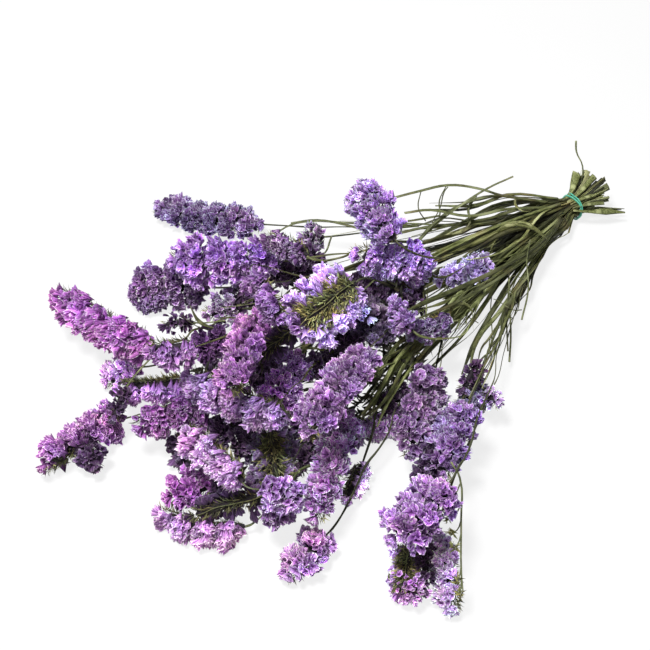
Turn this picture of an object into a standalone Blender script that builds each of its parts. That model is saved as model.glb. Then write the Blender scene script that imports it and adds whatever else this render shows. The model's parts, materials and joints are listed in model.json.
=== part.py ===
"""Bunch of dried statice, lying on a surface: seventeen winged stems in a rubber band, with forked flower heads.

Lengths in the tables are millimetres from the point on the surface below the band: -X runs along the bunch to
its flower heads, +X past the band to the cut ends. The finished object is moved so that the middle of its base
is the origin.
"""

import math
from collections import namedtuple

import bmesh
import bpy
import numpy as np
from mathutils import Vector

MM = 0.001

# Driving dimensions, in millimetres
STEM_RADIUS = 2.2
STEM_END_RADIUS = 1.6
BRANCH_RADIUS = 1.25
SLOT_PITCH = 5.0
BAND_INNER_RADIUS = 12.8
BAND_THICKNESS = 1.6
BAND_WIDTH = 5.6
BAND_STEPS = 32
TIE_HEIGHT = BAND_INNER_RADIUS + BAND_THICKNESS
TIE_HALF_LENGTH = 9.0
BEAD_SPACING = 19.0
GAP = 0.4
LAST_RUN = 7.0
CLEARANCE = 1.1
FORK_ANGLE = math.radians(34)
HEAD_SIDES = 8
HEAD_TIER = 15.0
HEAD_FILL = 0.90
HEAD_KNOB = 0.09
HEAD_GAP = 1.0
HEAD_SLIDE = (-0.37, -0.53, 0.77)
REST_DEPTH = 2.0

# A head is its letter, the start, middle and tip of its spike, its width across and its depth from back to
# front, the way its florets face, its shade, and whether it rests on the surface. The first head of a stem ends
# the stem, and the others are on branches.
Head = namedtuple("Head", "letter base middle tip width depth face shade rests")
# A stem is its place in the band in half pitches across and rows up, its cut end, and its heads.
Stem = namedtuple("Stem", "slot cut_end heads")

STEMS = (
    Stem((4, 0), (37, 30, 17), (
        Head("a", (-275, 165, 14), (-315, 205, 14), (-348, 250, 14), 42, 27, (0.1, 0.1, 1.0), "dusky", True),
        Head("b", (-254, 84, 48), (-262, 90, 47), (-272, 98, 46), 22, 19, (-0.9, 0.2, 0.4), "mauve", False),
    )),
    Stem((3, 1), (37, 21, 29), (
        Head("a", (-315, 73, 60), (-355, 102, 57), (-392, 135, 54), 44, 30, (-0.5, -0.8, 0.3), "violet", False),
        Head("b", (-305, 38, 92), (-312, 57, 91), (-323, 78, 90), 25, 22, (-0.8, -0.6, -0.1), "dusky", False),
    )),
    Stem((3, -1), (33, 17, 7), (
        Head("a", (-367, 117, 16), (-398, 138, 16), (-432, 150, 16), 42, 32, (-0.9, -0.1, 0.3), "dusky", True),
        Head("b", (-365, 67, 36), (-377, 72, 34), (-392, 78, 32), 26, 20, (-1.0, 0.2, 0.2), "mauve", False),
    )),
    Stem((1, 1), (38, 6, 24), (
        Head("a", (-458, 58, 50), (-478, 104, 45), (-496, 174, 40), 32, 36, (-0.9, -0.5, -0.2), "magenta", False),
        Head("b", (-435, 10, 84), (-452, 18, 82), (-468, 30, 80), 27, 27, (-0.7, -0.7, -0.3), "lilac", False),
    )),
    Stem((2, 0), (30, 11, 14), (
        Head("a", (-466, 73, 14), (-483, 79, 14), (-500, 78, 14), 32, 27, (-0.9, 0.2, 0.4), "violet", True),
        Head("b", (-446, 16, 34), (-476, 30, 33), (-503, 48, 32), 26, 25, (-0.5, -0.7, -0.5), "lilac", False),
        Head("c", (-402, 22, 58), (-418, 25, 57), (-434, 28, 56), 30, 26, (-0.7, -0.6, 0.4), "dusky", False),
    )),
    Stem((1, -1), (35, 6, 7), (
        Head("a", (-508, 28, 15), (-545, 32, 15), (-588, 23, 15), 38, 28, (-1.0, 0.1, 0.1), "dusky", True),
        Head("b", (-448, -20, 40), (-475, -9, 38), (-507, -2, 36), 36, 27, (-0.6, -0.8, 0.1), "magenta", False),
    )),
    Stem((0, 0), (34, 0, 15), (
        Head("a", (-410, -88, 74), (-433, -50, 70), (-453, 2, 66), 30, 33, (-0.9, -0.5, 0.0), "lilac", False),
        Head("b", (-482, -43, 11), (-482, -28, 11), (-480, -12, 11), 23, 20, (-0.9, -0.1, -0.3), "mauve", True),
    )),
    Stem((-1, -1), (31, -5, 8), (
        Head("a", (-465, -103, 48), (-470, -70, 46), (-476, -34, 44), 32, 30, (-1.0, -0.3, -0.1), "lilac", False),
        Head("b", (-466, -73, 13), (-490, -66, 13), (-515, -60, 13), 30, 24, (-0.9, 0.1, 0.5), "magenta", True),
        Head("c", (-478, -121, 16), (-509, -103, 15), (-528, -68, 15), 24, 26, (-0.5, -0.8, -0.3), "lilac", True),
    )),
    Stem((0, -2), (37, 1, 4), (
        Head("a", (-422, -78, 50), (-437, -105, 39), (-452, -137, 28), 43, 27, (0.1, 0.1, -1.0), "mauve", False),
        Head("b", (-347, -12, 30), (-372, -27, 25), (-398, -42, 20), 37, 28, (-0.5, -0.7, 0.5), "dusky", False),
    )),
    Stem((2, 2), (31, 10, 32), (
        Head("a", (-372, 5, 86), (-406, -21, 89), (-440, -50, 92), 34, 27, (-0.8, 0.0, 0.7), "violet", False),
        Head("b", (-362, 32, 106), (-367, 6, 105), (-370, -21, 104), 22, 22, (-1.0, -0.2, 0.2), "mauve", False),
    )),
    Stem((-2, 2), (36, -11, 32), (
        Head("a", (-296, -22, 104), (-328, -26, 101), (-364, -32, 98), 55, 30, (-0.3, 0.4, -0.9), "lavender", False),
        Head("b", (-277, -61, 58), (-285, -38, 60), (-290, -10, 62), 40, 27, (0.2, -0.2, 0.9), "lavender", False),
    )),
    Stem((0, 2), (40, -1, 33), (
        Head("a", (-236, 2, 102), (-234, 33, 107), (-227, 67, 112), 36, 28, (-0.6, 0.2, 0.8), "violet", False),
        Head("b", (-211, -25, 66), (-234, -3, 77), (-268, 16, 88), 43, 29, (-0.6, -0.8, 0.2), "violet", False),
    )),
    Stem((-1, 1), (33, -6, 22), (
        Head("a", (-316, -70, 76), (-362, -91, 80), (-410, -114, 84), 35, 27, (-0.5, 0.1, 0.9), "mauve", False),
        Head("b", (-308, -115, 13), (-333, -102, 13), (-358, -92, 13), 28, 24, (-0.6, -0.8, 0.0), "lilac", True),
    )),
    Stem((-2, 0), (38, -12, 14), (
        Head("a", (-357, -96, 48), (-392, -126, 42), (-434, -160, 36), 31, 27, (-0.8, -0.1, 0.6), "magenta", False),
        Head("b", (-362, -127, 11), (-376, -137, 11), (-393, -147, 11), 22, 20, (0.0, -0.8, -0.6), "lilac", True),
        Head("c", (-427, -166, 15), (-448, -171, 15), (-473, -177, 15), 32, 26, (-0.8, 0.0, 0.6), "lilac", True),
    )),
    Stem((-3, 1), (32, -18, 24), (
        Head("a", (-268, -103, 50), (-297, -124, 42), (-333, -155, 34), 36, 28, (-0.6, -0.8, 0.2), "lilac", False),
        Head("b", (-277, -80, 84), (-278, -66, 87), (-272, -48, 90), 21, 20, (-0.9, 0.1, 0.5), "mauve", False),
        Head("c", (-230, -78, 62), (-249, -72, 61), (-268, -69, 60), 25, 22, (-0.6, -0.8, 0.0), "dusky", False),
        Head("d", (-141, -35, 48), (-168, -31, 49), (-200, -28, 50), 28, 22, (-0.3, 0.0, 0.9), "lavender", False),
    )),
    Stem((-4, 0), (42, -33, 14), (
        Head("a", (-269, -149, 46), (-299, -166, 41), (-330, -188, 36), 33, 27, (-0.6, 0.0, 0.8), "mauve", False),
        Head("b", (-340, -208, 62), (-370, -214, 58), (-402, -218, 54), 42, 34, (-1.0, 0.0, 0.3), "violet", False),
        Head("c", (-376, -213, 14), (-394, -229, 14), (-410, -246, 14), 28, 24, (-0.1, 0.0, -1.0), "dusky", True),
    )),
    Stem((-3, -1), (30, -19, 7), (
        Head("a", (-224, -122, 14), (-246, -131, 14), (-276, -140, 14), 27, 25, (-0.3, -0.9, 0.2), "lavender", True),
        Head("b", (-238, -138, 34), (-238, -146, 33), (-236, -155, 32), 17, 16, (0.0, -0.5, 0.6), "mauve", False),
        Head("c", (-349, -216, 14), (-369, -247, 14), (-386, -275, 14), 28, 26, (-0.9, 0.1, 0.5), "lilac", True),
    )),
)

SHADES = {
    "dusky": (0.130, 0.075, 0.160),
    "mauve": (0.260, 0.165, 0.300),
    "lilac": (0.420, 0.270, 0.460),
    "lavender": (0.350, 0.280, 0.480),
    "violet": (0.330, 0.180, 0.420),
    "magenta": (0.260, 0.100, 0.250),
}
STEM_COLOUR = (0.130, 0.140, 0.062)
BAND_COLOUR = (0.180, 0.580, 0.430)


def clear_scene():
    for old in list(bpy.data.objects):
        bpy.data.objects.remove(old, do_unlink=True)


def new_collection(name):
    collection = bpy.data.collections.new(name)
    bpy.context.scene.collection.children.link(collection)
    return collection


def material(name, colour, roughness):
    made = bpy.data.materials.new(name)
    made.use_nodes = True
    shader = made.node_tree.nodes["Principled BSDF"]
    shader.inputs["Base Color"].default_value = (*colour, 1.0)
    shader.inputs["Roughness"].default_value = roughness
    shader.inputs["Metallic"].default_value = 0.0
    return made


def add_object(collection, name, mesh, made_of):
    obj = bpy.data.objects.new(name, mesh)
    mesh.materials.clear()
    mesh.materials.append(made_of)
    collection.objects.link(obj)
    return obj


def unit(vector):
    return vector / np.linalg.norm(vector)


def through(start, middle, end, t):
    """The point and tangent at t of the smooth arc that passes start, middle and end at 0, a half and 1."""
    handle = 2 * middle - 0.5 * (start + end)
    point = (1 - t) ** 2 * start + 2 * t * (1 - t) * handle + t**2 * end
    return point, unit(2 * (1 - t) * (handle - start) + 2 * t * (end - handle))


def bezier(start, leave, arrive, end, count):
    t = np.linspace(0, 1, count)[:, None]
    return (1 - t) ** 3 * start + 3 * t * (1 - t) ** 2 * leave + 3 * t**2 * (1 - t) * arrive + t**3 * end


# Flower heads: a knobbly cushion along each spike's arc, fuller on the side that its florets face


class Spike:
    """The arc of a head, lowered or raised so that a resting one just meets the surface."""

    def __init__(self, head):
        self.head = head
        self.arc = [np.array(point, float) for point in (head.base, head.middle, head.tip)]
        length = np.linalg.norm(self.arc[1] - self.arc[0]) + np.linalg.norm(self.arc[2] - self.arc[1])
        self.rings = 2 * max(2, round(length / HEAD_TIER)) + 1
        self.face = unit(np.array(head.face))
        if head.rests:
            drop = min(point[2] for ring in self.outline() for point in ring) + REST_DEPTH
            self.arc = [point - np.array((0.0, 0.0, drop)) for point in self.arc]

    def point(self, t):
        return through(*self.arc, t)

    def fullness(self, t):
        """The share of the head's full size at t: small where the stem enters, blunt at the tip."""
        return min(1.0, 0.36 + 4.2 * t) * min(1.0, 0.55 + 3.0 * (1 - t))

    def section(self, t):
        """The centre at t, the way across and the way to the front, and half of the width and the depth there."""
        centre, along = self.point(t)
        across = unit(np.cross(along, self.face))
        half = 0.5 * HEAD_FILL * self.fullness(t)
        return centre, across, np.cross(across, along), half * self.head.width, half * self.head.depth

    def outline(self):
        rings = []
        for i in range(self.rings):
            centre, across, front, half_width, half_depth = self.section(i / (self.rings - 1))
            rings.append([])
            for j in range(HEAD_SIDES):
                turn = 2 * math.pi * (j + 0.5) / HEAD_SIDES
                size = 1 + HEAD_KNOB * (-1) ** (i + j)
                reach = front * half_depth * math.cos(turn) + across * half_width * math.sin(turn)
                rings[-1].append(centre + size * reach)
        return rings

    def capsules(self):
        """The head's bulk as rows of start, end and radius: one run, or two side by side where it is broad."""
        steps = [self.section(t) for t in np.linspace(0.0, 1.0, 6)]
        rows = []
        for (a, across_a, front_a, wide_a, deep_a), (b, across_b, front_b, wide_b, deep_b) in zip(steps, steps[1:]):
            thin = min(max(wide_a, wide_b), max(deep_a, deep_b))
            side_a = across_a * max(wide_a - thin, 0.0) + front_a * max(deep_a - thin, 0.0)
            side_b = across_b * max(wide_b - thin, 0.0) + front_b * max(deep_b - thin, 0.0)
            for sign in (-1, 1):
                rows.append((a + sign * side_a, b + sign * side_b, thin * (1 + HEAD_KNOB)))
        return rows

    def mesh(self, name):
        shape = bmesh.new()
        rings = [[shape.verts.new(point * MM) for point in ring] for ring in self.outline()]
        for low, high in zip(rings, rings[1:]):
            for j in range(HEAD_SIDES):
                k = (j + 1) % HEAD_SIDES
                shape.faces.new((low[j], low[k], high[k], high[j]))
        shape.faces.new(rings[0][::-1])
        shape.faces.new(rings[-1])
        bmesh.ops.triangulate(shape, faces=shape.faces[:])
        if self.head.rests:
            everything = shape.verts[:] + shape.edges[:] + shape.faces[:]
            bmesh.ops.bisect_plane(
                shape, geom=everything, plane_co=(0, 0, 0), plane_no=(0, 0, 1), dist=1e-6, clear_inner=True
            )
            bmesh.ops.holes_fill(shape, edges=[edge for edge in shape.edges if edge.is_boundary])
            bmesh.ops.triangulate(shape, faces=shape.faces[:])
        bmesh.ops.recalc_face_normals(shape, faces=shape.faces[:])
        mesh = bpy.data.meshes.new(name)
        shape.to_mesh(mesh)
        shape.free()
        mesh.shade_smooth()
        return mesh


def slide_order(start, end, owner, i, j, slide):
    """For each pair of capsules, 1 where the first one's head is the upper along the slide where the heads cross."""
    flat_start = start - (start @ slide)[:, None] * slide
    flat_end = end - (end @ slide)[:, None] * slide
    s, t, step = closest(flat_start[i], flat_end[i], flat_start[j], flat_end[j])
    level_i = (start[i] + (end[i] - start[i]) * s[:, None]) @ slide
    level_j = (start[j] + (end[j] - start[j]) * t[:, None]) @ slide
    nearest = {}
    for k in np.argsort(np.linalg.norm(step, axis=1), kind="stable"):
        nearest.setdefault((owner[i[k]], owner[j[k]]), 1.0 if level_i[k] >= level_j[k] else -1.0)
    return np.array([nearest[owner[i[k]], owner[j[k]]] for k in range(len(i))])


def ease_heads(spikes, rounds):
    """Parts heads that would meet, each sliding along one slanting line so that the bunch keeps its spread."""
    slide = unit(np.array(HEAD_SLIDE))
    rows = [(k, *row) for k, spike in enumerate(spikes) for row in spike.capsules()]
    owner = np.array([row[0] for row in rows])
    start, end, radius = (np.array([row[i] for row in rows], float) for i in (1, 2, 3))
    held = np.array([spike.head.rests for spike in spikes])
    lowest = np.array([min(point[2] for ring in spike.outline() for point in ring) for spike in spikes])
    i, j = np.triu_indices(len(rows), 1)
    apart = (owner[i] != owner[j]) & ~(held[owner[i]] & held[owner[j]])
    i, j = i[apart], j[apart]
    order = slide_order(start, end, owner, i, j, slide)
    shift = np.zeros(len(spikes))
    for _ in range(rounds):
        offset = shift[owner][:, None] * slide
        a, b = start + offset, end + offset
        _, _, step = closest(a[i], b[i], a[j], b[j])
        distance = np.linalg.norm(step, axis=1)
        short = radius[i] + radius[j] + HEAD_GAP - distance
        for k in np.nonzero(short > 0)[0]:
            one, two = owner[i[k]], owner[j[k]]
            share = 1.0 if held[one] or held[two] else 0.5
            push = 0.25 * share * short[k] * order[k]
            shift[one] += 0.0 if held[one] else push
            shift[two] -= 0.0 if held[two] else push
        floor = (0.6 - lowest) / slide[2]
        shift = np.where(held, 0.0, np.maximum(shift, floor))
    for spike, amount in zip(spikes, shift):
        spike.arc = [point + amount * slide for point in spike.arc]


# Stems: smooth runs from the cut end through the band to each head, eased apart until none of them touch


class Strand:
    """One run of a stem: its beads, their radii, and the bead of the main run that a branch leaves from."""

    def __init__(self, stem, spike, points, radii, fixed, parent=None):
        self.stem = stem
        self.spike = spike
        self.points = np.array(points, float)
        self.radii = np.array(radii, float)
        self.fixed = np.array(fixed, bool)
        self.parent = parent


def head_entry(spike):
    """Where a stem stops short of its head, and the direction that it arrives in."""
    start, along = spike.point(0.0)
    return start - along * GAP, along


def main_strand(number, stem, spike):
    across, up = 0.5 * SLOT_PITCH * stem.slot[0], SLOT_PITCH * math.sqrt(0.75) * stem.slot[1]
    slot = np.array((0.0, across, TIE_HEIGHT + up))
    forward = np.array((TIE_HALF_LENGTH, 0.0, 0.0))
    leave = slot - forward
    end, along = head_entry(spike)
    reach = np.linalg.norm(end - leave)
    count = max(5, round(reach / BEAD_SPACING) + 1)
    heading = unit(np.array((-1.0, 0.10 * across / SLOT_PITCH, 0.05 * up / SLOT_PITCH)))
    run = bezier(leave, leave + heading * 0.35 * reach, end - along * min(0.3 * reach, 60.0), end, count)
    run[-2] = end - along * LAST_RUN
    points = np.vstack([np.array(stem.cut_end, float), slot + forward, slot, run])
    radii = np.linspace(STEM_RADIUS, STEM_END_RADIUS, len(points))
    fixed = [True] * 4 + [False] * (count - 3) + [True] * 2
    return Strand(number, spike, points, radii, fixed)


def branch_strand(number, main, spike):
    end, along = head_entry(spike)
    gaps = np.linalg.norm(main.points - end, axis=1)
    foot = int(np.argmin(gaps[4:-2])) + 4
    back = gaps[foot] / math.tan(FORK_ANGLE) + 12.0
    fork = max(5, foot - round(back / BEAD_SPACING))
    start = main.points[fork]
    reach = np.linalg.norm(end - start)
    count = max(4, round(reach / BEAD_SPACING) + 1)
    heading = unit(unit(main.points[fork + 1] - main.points[fork]) + 0.9 * unit(end - start))
    run = bezier(start, start + heading * 0.3 * reach, end - along * min(0.3 * reach, 40.0), end, count)
    run[-2] = end - along * LAST_RUN
    fixed = [True] + [False] * (count - 3) + [True] * 2
    return Strand(number, spike, run, [BRANCH_RADIUS] * count, fixed, parent=(main, fork))


def closest(a, b, c, d):
    """For rows of segments a-b and c-d: the share along each of the two nearest points, and the step between."""
    u, v, w = b - a, d - c, a - c
    uu, uv, vv = (u * u).sum(1), (u * v).sum(1), (v * v).sum(1)
    uw, vw = (u * w).sum(1), (v * w).sum(1)
    area = np.maximum(uu * vv - uv * uv, 1e-9)
    s = np.clip((uv * vw - vv * uw) / area, 0, 1)
    t = np.clip((uv * s + vw) / vv, 0, 1)
    s = np.clip((uv * t - uw) / uu, 0, 1)
    return s, t, (a + u * s[:, None]) - (c + v * t[:, None])


class Bundle:
    """All the strands' beads in one array, with the head arcs as fixed capsules."""

    def __init__(self, strands, spikes):
        self.strands = strands
        self.start = np.cumsum([0] + [len(strand.points) for strand in strands])
        self.points = np.vstack([strand.points for strand in strands])
        self.first = self.points.copy()
        self.radii = np.concatenate([strand.radii for strand in strands])
        self.fixed = np.concatenate([strand.fixed for strand in strands])
        self.tied = [
            (self.start[i], self.start[self.index(strand.parent[0])] + strand.parent[1])
            for i, strand in enumerate(strands)
            if strand.parent
        ]
        self.segments = np.concatenate(
            [np.arange(self.start[i], self.start[i + 1] - 1) for i in range(len(strands))]
        )
        self.owner = np.concatenate([[s.stem] * (len(s.points) - 1) for s in strands])
        self.ends_at = [None] * len(self.segments)
        last = 0
        for strand in strands:
            last += len(strand.points) - 1
            self.ends_at[last - 1] = self.ends_at[last - 2] = strand.spike
        self.capsules = self.head_capsules(spikes)
        self.pair()

    def index(self, strand):
        return next(i for i, other in enumerate(self.strands) if other is strand)

    def head_capsules(self, spikes):
        return [(*row, spike) for spike in spikes for row in spike.capsules()]

    def pair(self):
        i, j = np.triu_indices(len(self.segments), 1)
        apart = self.owner[i] != self.owner[j]
        self.pairs = np.array((i[apart], j[apart]))
        self.head_pairs = np.array(
            [
                (i, k)
                for i in range(len(self.segments))
                for k, row in enumerate(self.capsules)
                if self.ends_at[i] is not row[3]
            ]
        ).T
        self.head_a = np.array([row[0] for row in self.capsules])
        self.head_b = np.array([row[1] for row in self.capsules])
        self.head_r = np.array([row[2] for row in self.capsules])
        slide = unit(np.array(HEAD_SLIDE))
        self.way_out = np.array([slide if row[3].head.rests else -slide for row in self.capsules])

    def nearby(self, spare):
        """The pairs whose segments' middles are close enough to matter for the next few steps."""
        low, high = self.points[self.segments], self.points[self.segments + 1]
        middle, half = 0.5 * (low + high), 0.5 * np.linalg.norm(high - low, axis=1)
        i, j = self.pairs
        near = np.linalg.norm(middle[i] - middle[j], axis=1) < half[i] + half[j] + 6.0 + spare
        k, m = self.head_pairs
        head_middle = 0.5 * (self.head_a + self.head_b)
        head_half = 0.5 * np.linalg.norm(self.head_b - self.head_a, axis=1)
        reach = half[k] + head_half[m] + self.head_r[m] + 4.0 + spare
        near_head = np.linalg.norm(middle[k] - head_middle[m], axis=1) < reach
        return self.pairs[:, near], self.head_pairs[:, near_head]

    def gaps(self, pairs, head_pairs):
        """Each pair's shortfall below its clearance, with the shares and the direction to part them in."""
        seg = self.segments
        i, j = pairs
        s, t, step = closest(
            self.points[seg[i]], self.points[seg[i] + 1], self.points[seg[j]], self.points[seg[j] + 1]
        )
        distance = np.linalg.norm(step, axis=1)
        short = self.radii[seg[i]] + self.radii[seg[j]] + CLEARANCE - distance
        k, m = head_pairs
        sk, tm, step_k = closest(self.points[seg[k]], self.points[seg[k] + 1], self.head_a[m], self.head_b[m])
        distance_k = np.linalg.norm(step_k, axis=1)
        short_k = self.radii[seg[k]] + self.head_r[m] + CLEARANCE - distance_k
        return (i, j, s, t, step, distance, short), (k, m, sk, step_k, distance_k, short_k)

    def ease(self, rounds):
        seg = self.segments
        free = ~self.fixed
        for n in range(rounds):
            if n % 8 == 0:
                pairs, head_pairs = self.nearby(10.0)
            stems, heads = self.gaps(pairs, head_pairs)
            i, j, s, t, step, distance, short = stems
            move = np.zeros_like(self.points)
            weight = np.zeros(len(self.points))
            hit = short > 0
            push = unit_rows(step[hit], distance[hit]) * short[hit][:, None] * 0.5
            for index, share, sign in ((i, s, 1.0), (j, t, -1.0)):
                self.spread(move, weight, seg[index[hit]], share[hit], push * sign)
            k, m, sk, step_k, distance_k, short_k = heads
            hit = short_k > 0
            away = unit_rows(step_k[hit], distance_k[hit])
            deep = distance_k[hit] < 0.75 * self.head_r[m[hit]]
            away[deep] = self.way_out[m[hit]][deep]
            push = away * short_k[hit][:, None]
            self.spread(move, weight, seg[k[hit]], sk[hit], push)
            move[weight > 0] /= np.maximum(weight[weight > 0], 1.0)[:, None]
            self.points[free] += 0.9 * move[free]
            if n < rounds - 14:
                self.smooth(0.5 if n < rounds * 0.7 else 0.2)
            self.points[:, 2] = np.maximum(self.points[:, 2], self.radii + 0.4)
            for child, parent in self.tied:
                self.points[child] = self.points[parent]

    @staticmethod
    def spread(move, weight, segment, share, push):
        for offset, part in ((0, 1 - share), (1, share)):
            np.add.at(move, segment + offset, push * (0.4 + 0.9 * part)[:, None])
            np.add.at(weight, segment + offset, (part > 0.05) * 1.0)

    def smooth(self, amount):
        shift = self.points - self.first
        for i in range(len(self.strands)):
            low, high = self.start[i], self.start[i + 1]
            run = shift[low:high]
            even = 0.5 * (run[:-2] + run[2:])
            inner = ~self.fixed[low + 1 : high - 1]
            run[1:-1][inner] += amount * (even[inner] - run[1:-1][inner])
        self.points = self.first + shift

    def hand_back(self):
        for i, strand in enumerate(self.strands):
            strand.points = self.points[self.start[i] : self.start[i + 1]]


def unit_rows(step, distance):
    return step / np.maximum(distance, 1e-6)[:, None]


def tube_object(collection, name, points, radii, made_of):
    """A round tube along the points, as a closed mesh."""
    curve = bpy.data.curves.new(name + "_path", "CURVE")
    curve.dimensions = "3D"
    curve.bevel_depth = 1.0 * MM
    curve.bevel_resolution = 1
    curve.use_fill_caps = True
    curve.twist_mode = "MINIMUM"
    spline = curve.splines.new("POLY")
    spline.points.add(len(points) - 1)
    for target, point, radius in zip(spline.points, points, radii):
        target.co = (*(point * MM), 1.0)
        target.radius = radius
    path = bpy.data.objects.new(name + "_path", curve)
    collection.objects.link(path)
    bpy.context.view_layer.update()
    graph = bpy.context.evaluated_depsgraph_get()
    mesh = bpy.data.meshes.new_from_object(path.evaluated_get(graph))
    mesh.name = name
    shape = bmesh.new()
    shape.from_mesh(mesh)
    bmesh.ops.remove_doubles(shape, verts=shape.verts[:], dist=1e-6)
    bmesh.ops.recalc_face_normals(shape, faces=shape.faces[:])
    shape.to_mesh(mesh)
    shape.free()
    bpy.data.objects.remove(path, do_unlink=True)
    return add_object(collection, name, mesh, made_of)


def unite(target, other):
    """Joins the other closed mesh into the target and removes it."""
    union = target.modifiers.new("union", "BOOLEAN")
    union.operation = "UNION"
    union.solver = "EXACT"
    union.object = other
    bpy.context.view_layer.update()
    graph = bpy.context.evaluated_depsgraph_get()
    joined = bpy.data.meshes.new_from_object(target.evaluated_get(graph))
    joined.name = target.data.name
    target.modifiers.clear()
    target.data = joined
    bpy.data.objects.remove(other, do_unlink=True)


def make_band(collection):
    """Two turns of a flat rubber band side by side, as one turned ring about the bundle's axis."""
    inner, outer, half = BAND_INNER_RADIUS, BAND_INNER_RADIUS + BAND_THICKNESS, 0.5 * BAND_WIDTH
    profile = (
        (half, inner), (half, outer - 0.4), (half - 0.5, outer), (0.4, outer), (0.0, outer - 0.5),
        (-0.4, outer), (0.5 - half, outer), (-half, outer - 0.4), (-half, inner),
    )
    shape = bmesh.new()
    rim = [shape.verts.new((x * MM, 0.0, radius * MM)) for x, radius in profile]
    edges = [shape.edges.new((rim[i], rim[(i + 1) % len(rim)])) for i in range(len(rim))]
    bmesh.ops.spin(
        shape, geom=rim + edges, cent=(0, 0, 0), axis=(1, 0, 0), angle=2 * math.pi, steps=BAND_STEPS,
        use_merge=True,
    )
    bmesh.ops.remove_doubles(shape, verts=shape.verts[:], dist=1e-6)
    bmesh.ops.recalc_face_normals(shape, faces=shape.faces[:])
    bmesh.ops.translate(shape, verts=shape.verts[:], vec=(0, 0, TIE_HEIGHT * MM))
    mesh = bpy.data.meshes.new("rubber_band")
    shape.to_mesh(mesh)
    shape.free()
    mesh.shade_smooth()
    return add_object(collection, "rubber_band", mesh, material("rubber_band", BAND_COLOUR, 0.5))


def centre_on_origin(collection):
    """Moves every mesh so that the middle of the object's base is the origin."""
    corners = [obj.matrix_world @ Vector(corner) for obj in collection.objects for corner in obj.bound_box]
    middle = [0.5 * (min(c[i] for c in corners) + max(c[i] for c in corners)) for i in (0, 1)]
    for obj in collection.objects:
        for vertex in obj.data.vertices:
            vertex.co.x -= middle[0]
            vertex.co.y -= middle[1]


def main():
    clear_scene()
    bunch = new_collection("bunch_of_dried_statice")
    strands = []
    spikes = []
    for number, stem in enumerate(STEMS, 1):
        spikes.extend((f"head_{number:02d}{head.letter}", Spike(head)) for head in stem.heads)
    ease_heads([spike for _, spike in spikes], 400)
    left = iter(spikes)
    for number, stem in enumerate(STEMS, 1):
        own = [next(left)[1] for _ in stem.heads]
        trunk = main_strand(number, stem, own[0])
        strands.append(trunk)
        strands.extend(branch_strand(number, trunk, spike) for spike in own[1:])
    bundle = Bundle(strands, [spike for _, spike in spikes])
    bundle.ease(260)
    bundle.hand_back()
    for number in range(1, len(STEMS) + 1):
        name = f"stem_{number:02d}"
        runs = [strand for strand in strands if strand.stem == number]
        made_of = material(name, STEM_COLOUR, 0.7)
        whole = tube_object(bunch, name, runs[0].points, runs[0].radii, made_of)
        for run in runs[1:]:
            unite(whole, tube_object(bunch, name + "_branch", run.points, run.radii, made_of))
        whole.data.shade_smooth()
    for name, spike in spikes:
        add_object(bunch, name, spike.mesh(name), material(name, SHADES[spike.head.shade], 0.8))
    make_band(bunch)
    centre_on_origin(bunch)


main()
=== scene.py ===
"""A bunch of dried statice lying on its side, dressed around its solids: papery calyxes in dense one-sided
spikes, tufts of green bracts along their backs, flat winged stems, leaves and twigs, and a wound rubber band.

Lengths are millimetres from the point on the surface below the band, and -X runs along the bunch to its flower
heads. The stage is in metres.
"""

import functools
import json
import math
import random
from collections import namedtuple

import bmesh
import bpy
import numpy as np
from bpy.props import FloatProperty, FloatVectorProperty, IntProperty, PointerProperty
from mathutils import Matrix, Vector, noise

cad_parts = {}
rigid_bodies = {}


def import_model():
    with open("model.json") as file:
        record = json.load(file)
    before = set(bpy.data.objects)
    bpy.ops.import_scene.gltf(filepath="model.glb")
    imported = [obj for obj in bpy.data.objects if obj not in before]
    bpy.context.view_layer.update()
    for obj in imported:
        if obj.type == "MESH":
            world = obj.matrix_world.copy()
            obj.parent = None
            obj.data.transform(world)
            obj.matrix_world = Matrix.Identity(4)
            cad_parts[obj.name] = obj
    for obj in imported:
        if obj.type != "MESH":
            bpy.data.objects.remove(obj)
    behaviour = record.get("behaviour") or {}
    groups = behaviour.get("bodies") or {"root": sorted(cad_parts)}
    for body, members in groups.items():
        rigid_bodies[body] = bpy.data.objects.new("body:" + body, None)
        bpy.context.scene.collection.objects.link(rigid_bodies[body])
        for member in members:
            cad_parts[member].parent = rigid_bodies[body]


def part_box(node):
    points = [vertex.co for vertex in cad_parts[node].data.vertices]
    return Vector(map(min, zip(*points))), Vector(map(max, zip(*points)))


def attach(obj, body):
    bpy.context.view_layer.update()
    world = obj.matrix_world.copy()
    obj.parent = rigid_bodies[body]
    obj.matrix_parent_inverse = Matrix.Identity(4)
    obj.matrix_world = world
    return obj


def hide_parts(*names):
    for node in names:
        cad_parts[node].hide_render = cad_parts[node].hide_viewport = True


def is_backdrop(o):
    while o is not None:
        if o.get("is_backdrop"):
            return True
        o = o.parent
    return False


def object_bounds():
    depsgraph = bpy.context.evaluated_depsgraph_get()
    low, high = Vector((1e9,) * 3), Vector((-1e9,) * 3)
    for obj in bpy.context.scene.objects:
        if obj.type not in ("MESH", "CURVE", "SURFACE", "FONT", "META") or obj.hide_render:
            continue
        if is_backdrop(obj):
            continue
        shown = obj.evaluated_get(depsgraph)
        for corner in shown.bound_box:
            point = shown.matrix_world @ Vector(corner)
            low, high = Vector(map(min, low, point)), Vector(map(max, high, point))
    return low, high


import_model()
CAD_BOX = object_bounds()

bl_info = {
    "name": "Bunch of Dried Statice",
    "version": (1, 0, 0),
    "blender": (4, 5, 0),
    "location": "View3D > Sidebar > Statice",
    "description": "Dresses the solids of a tied bunch of dried statice with calyxes, bracts, stems and a band",
    "category": "Object",
}

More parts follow.
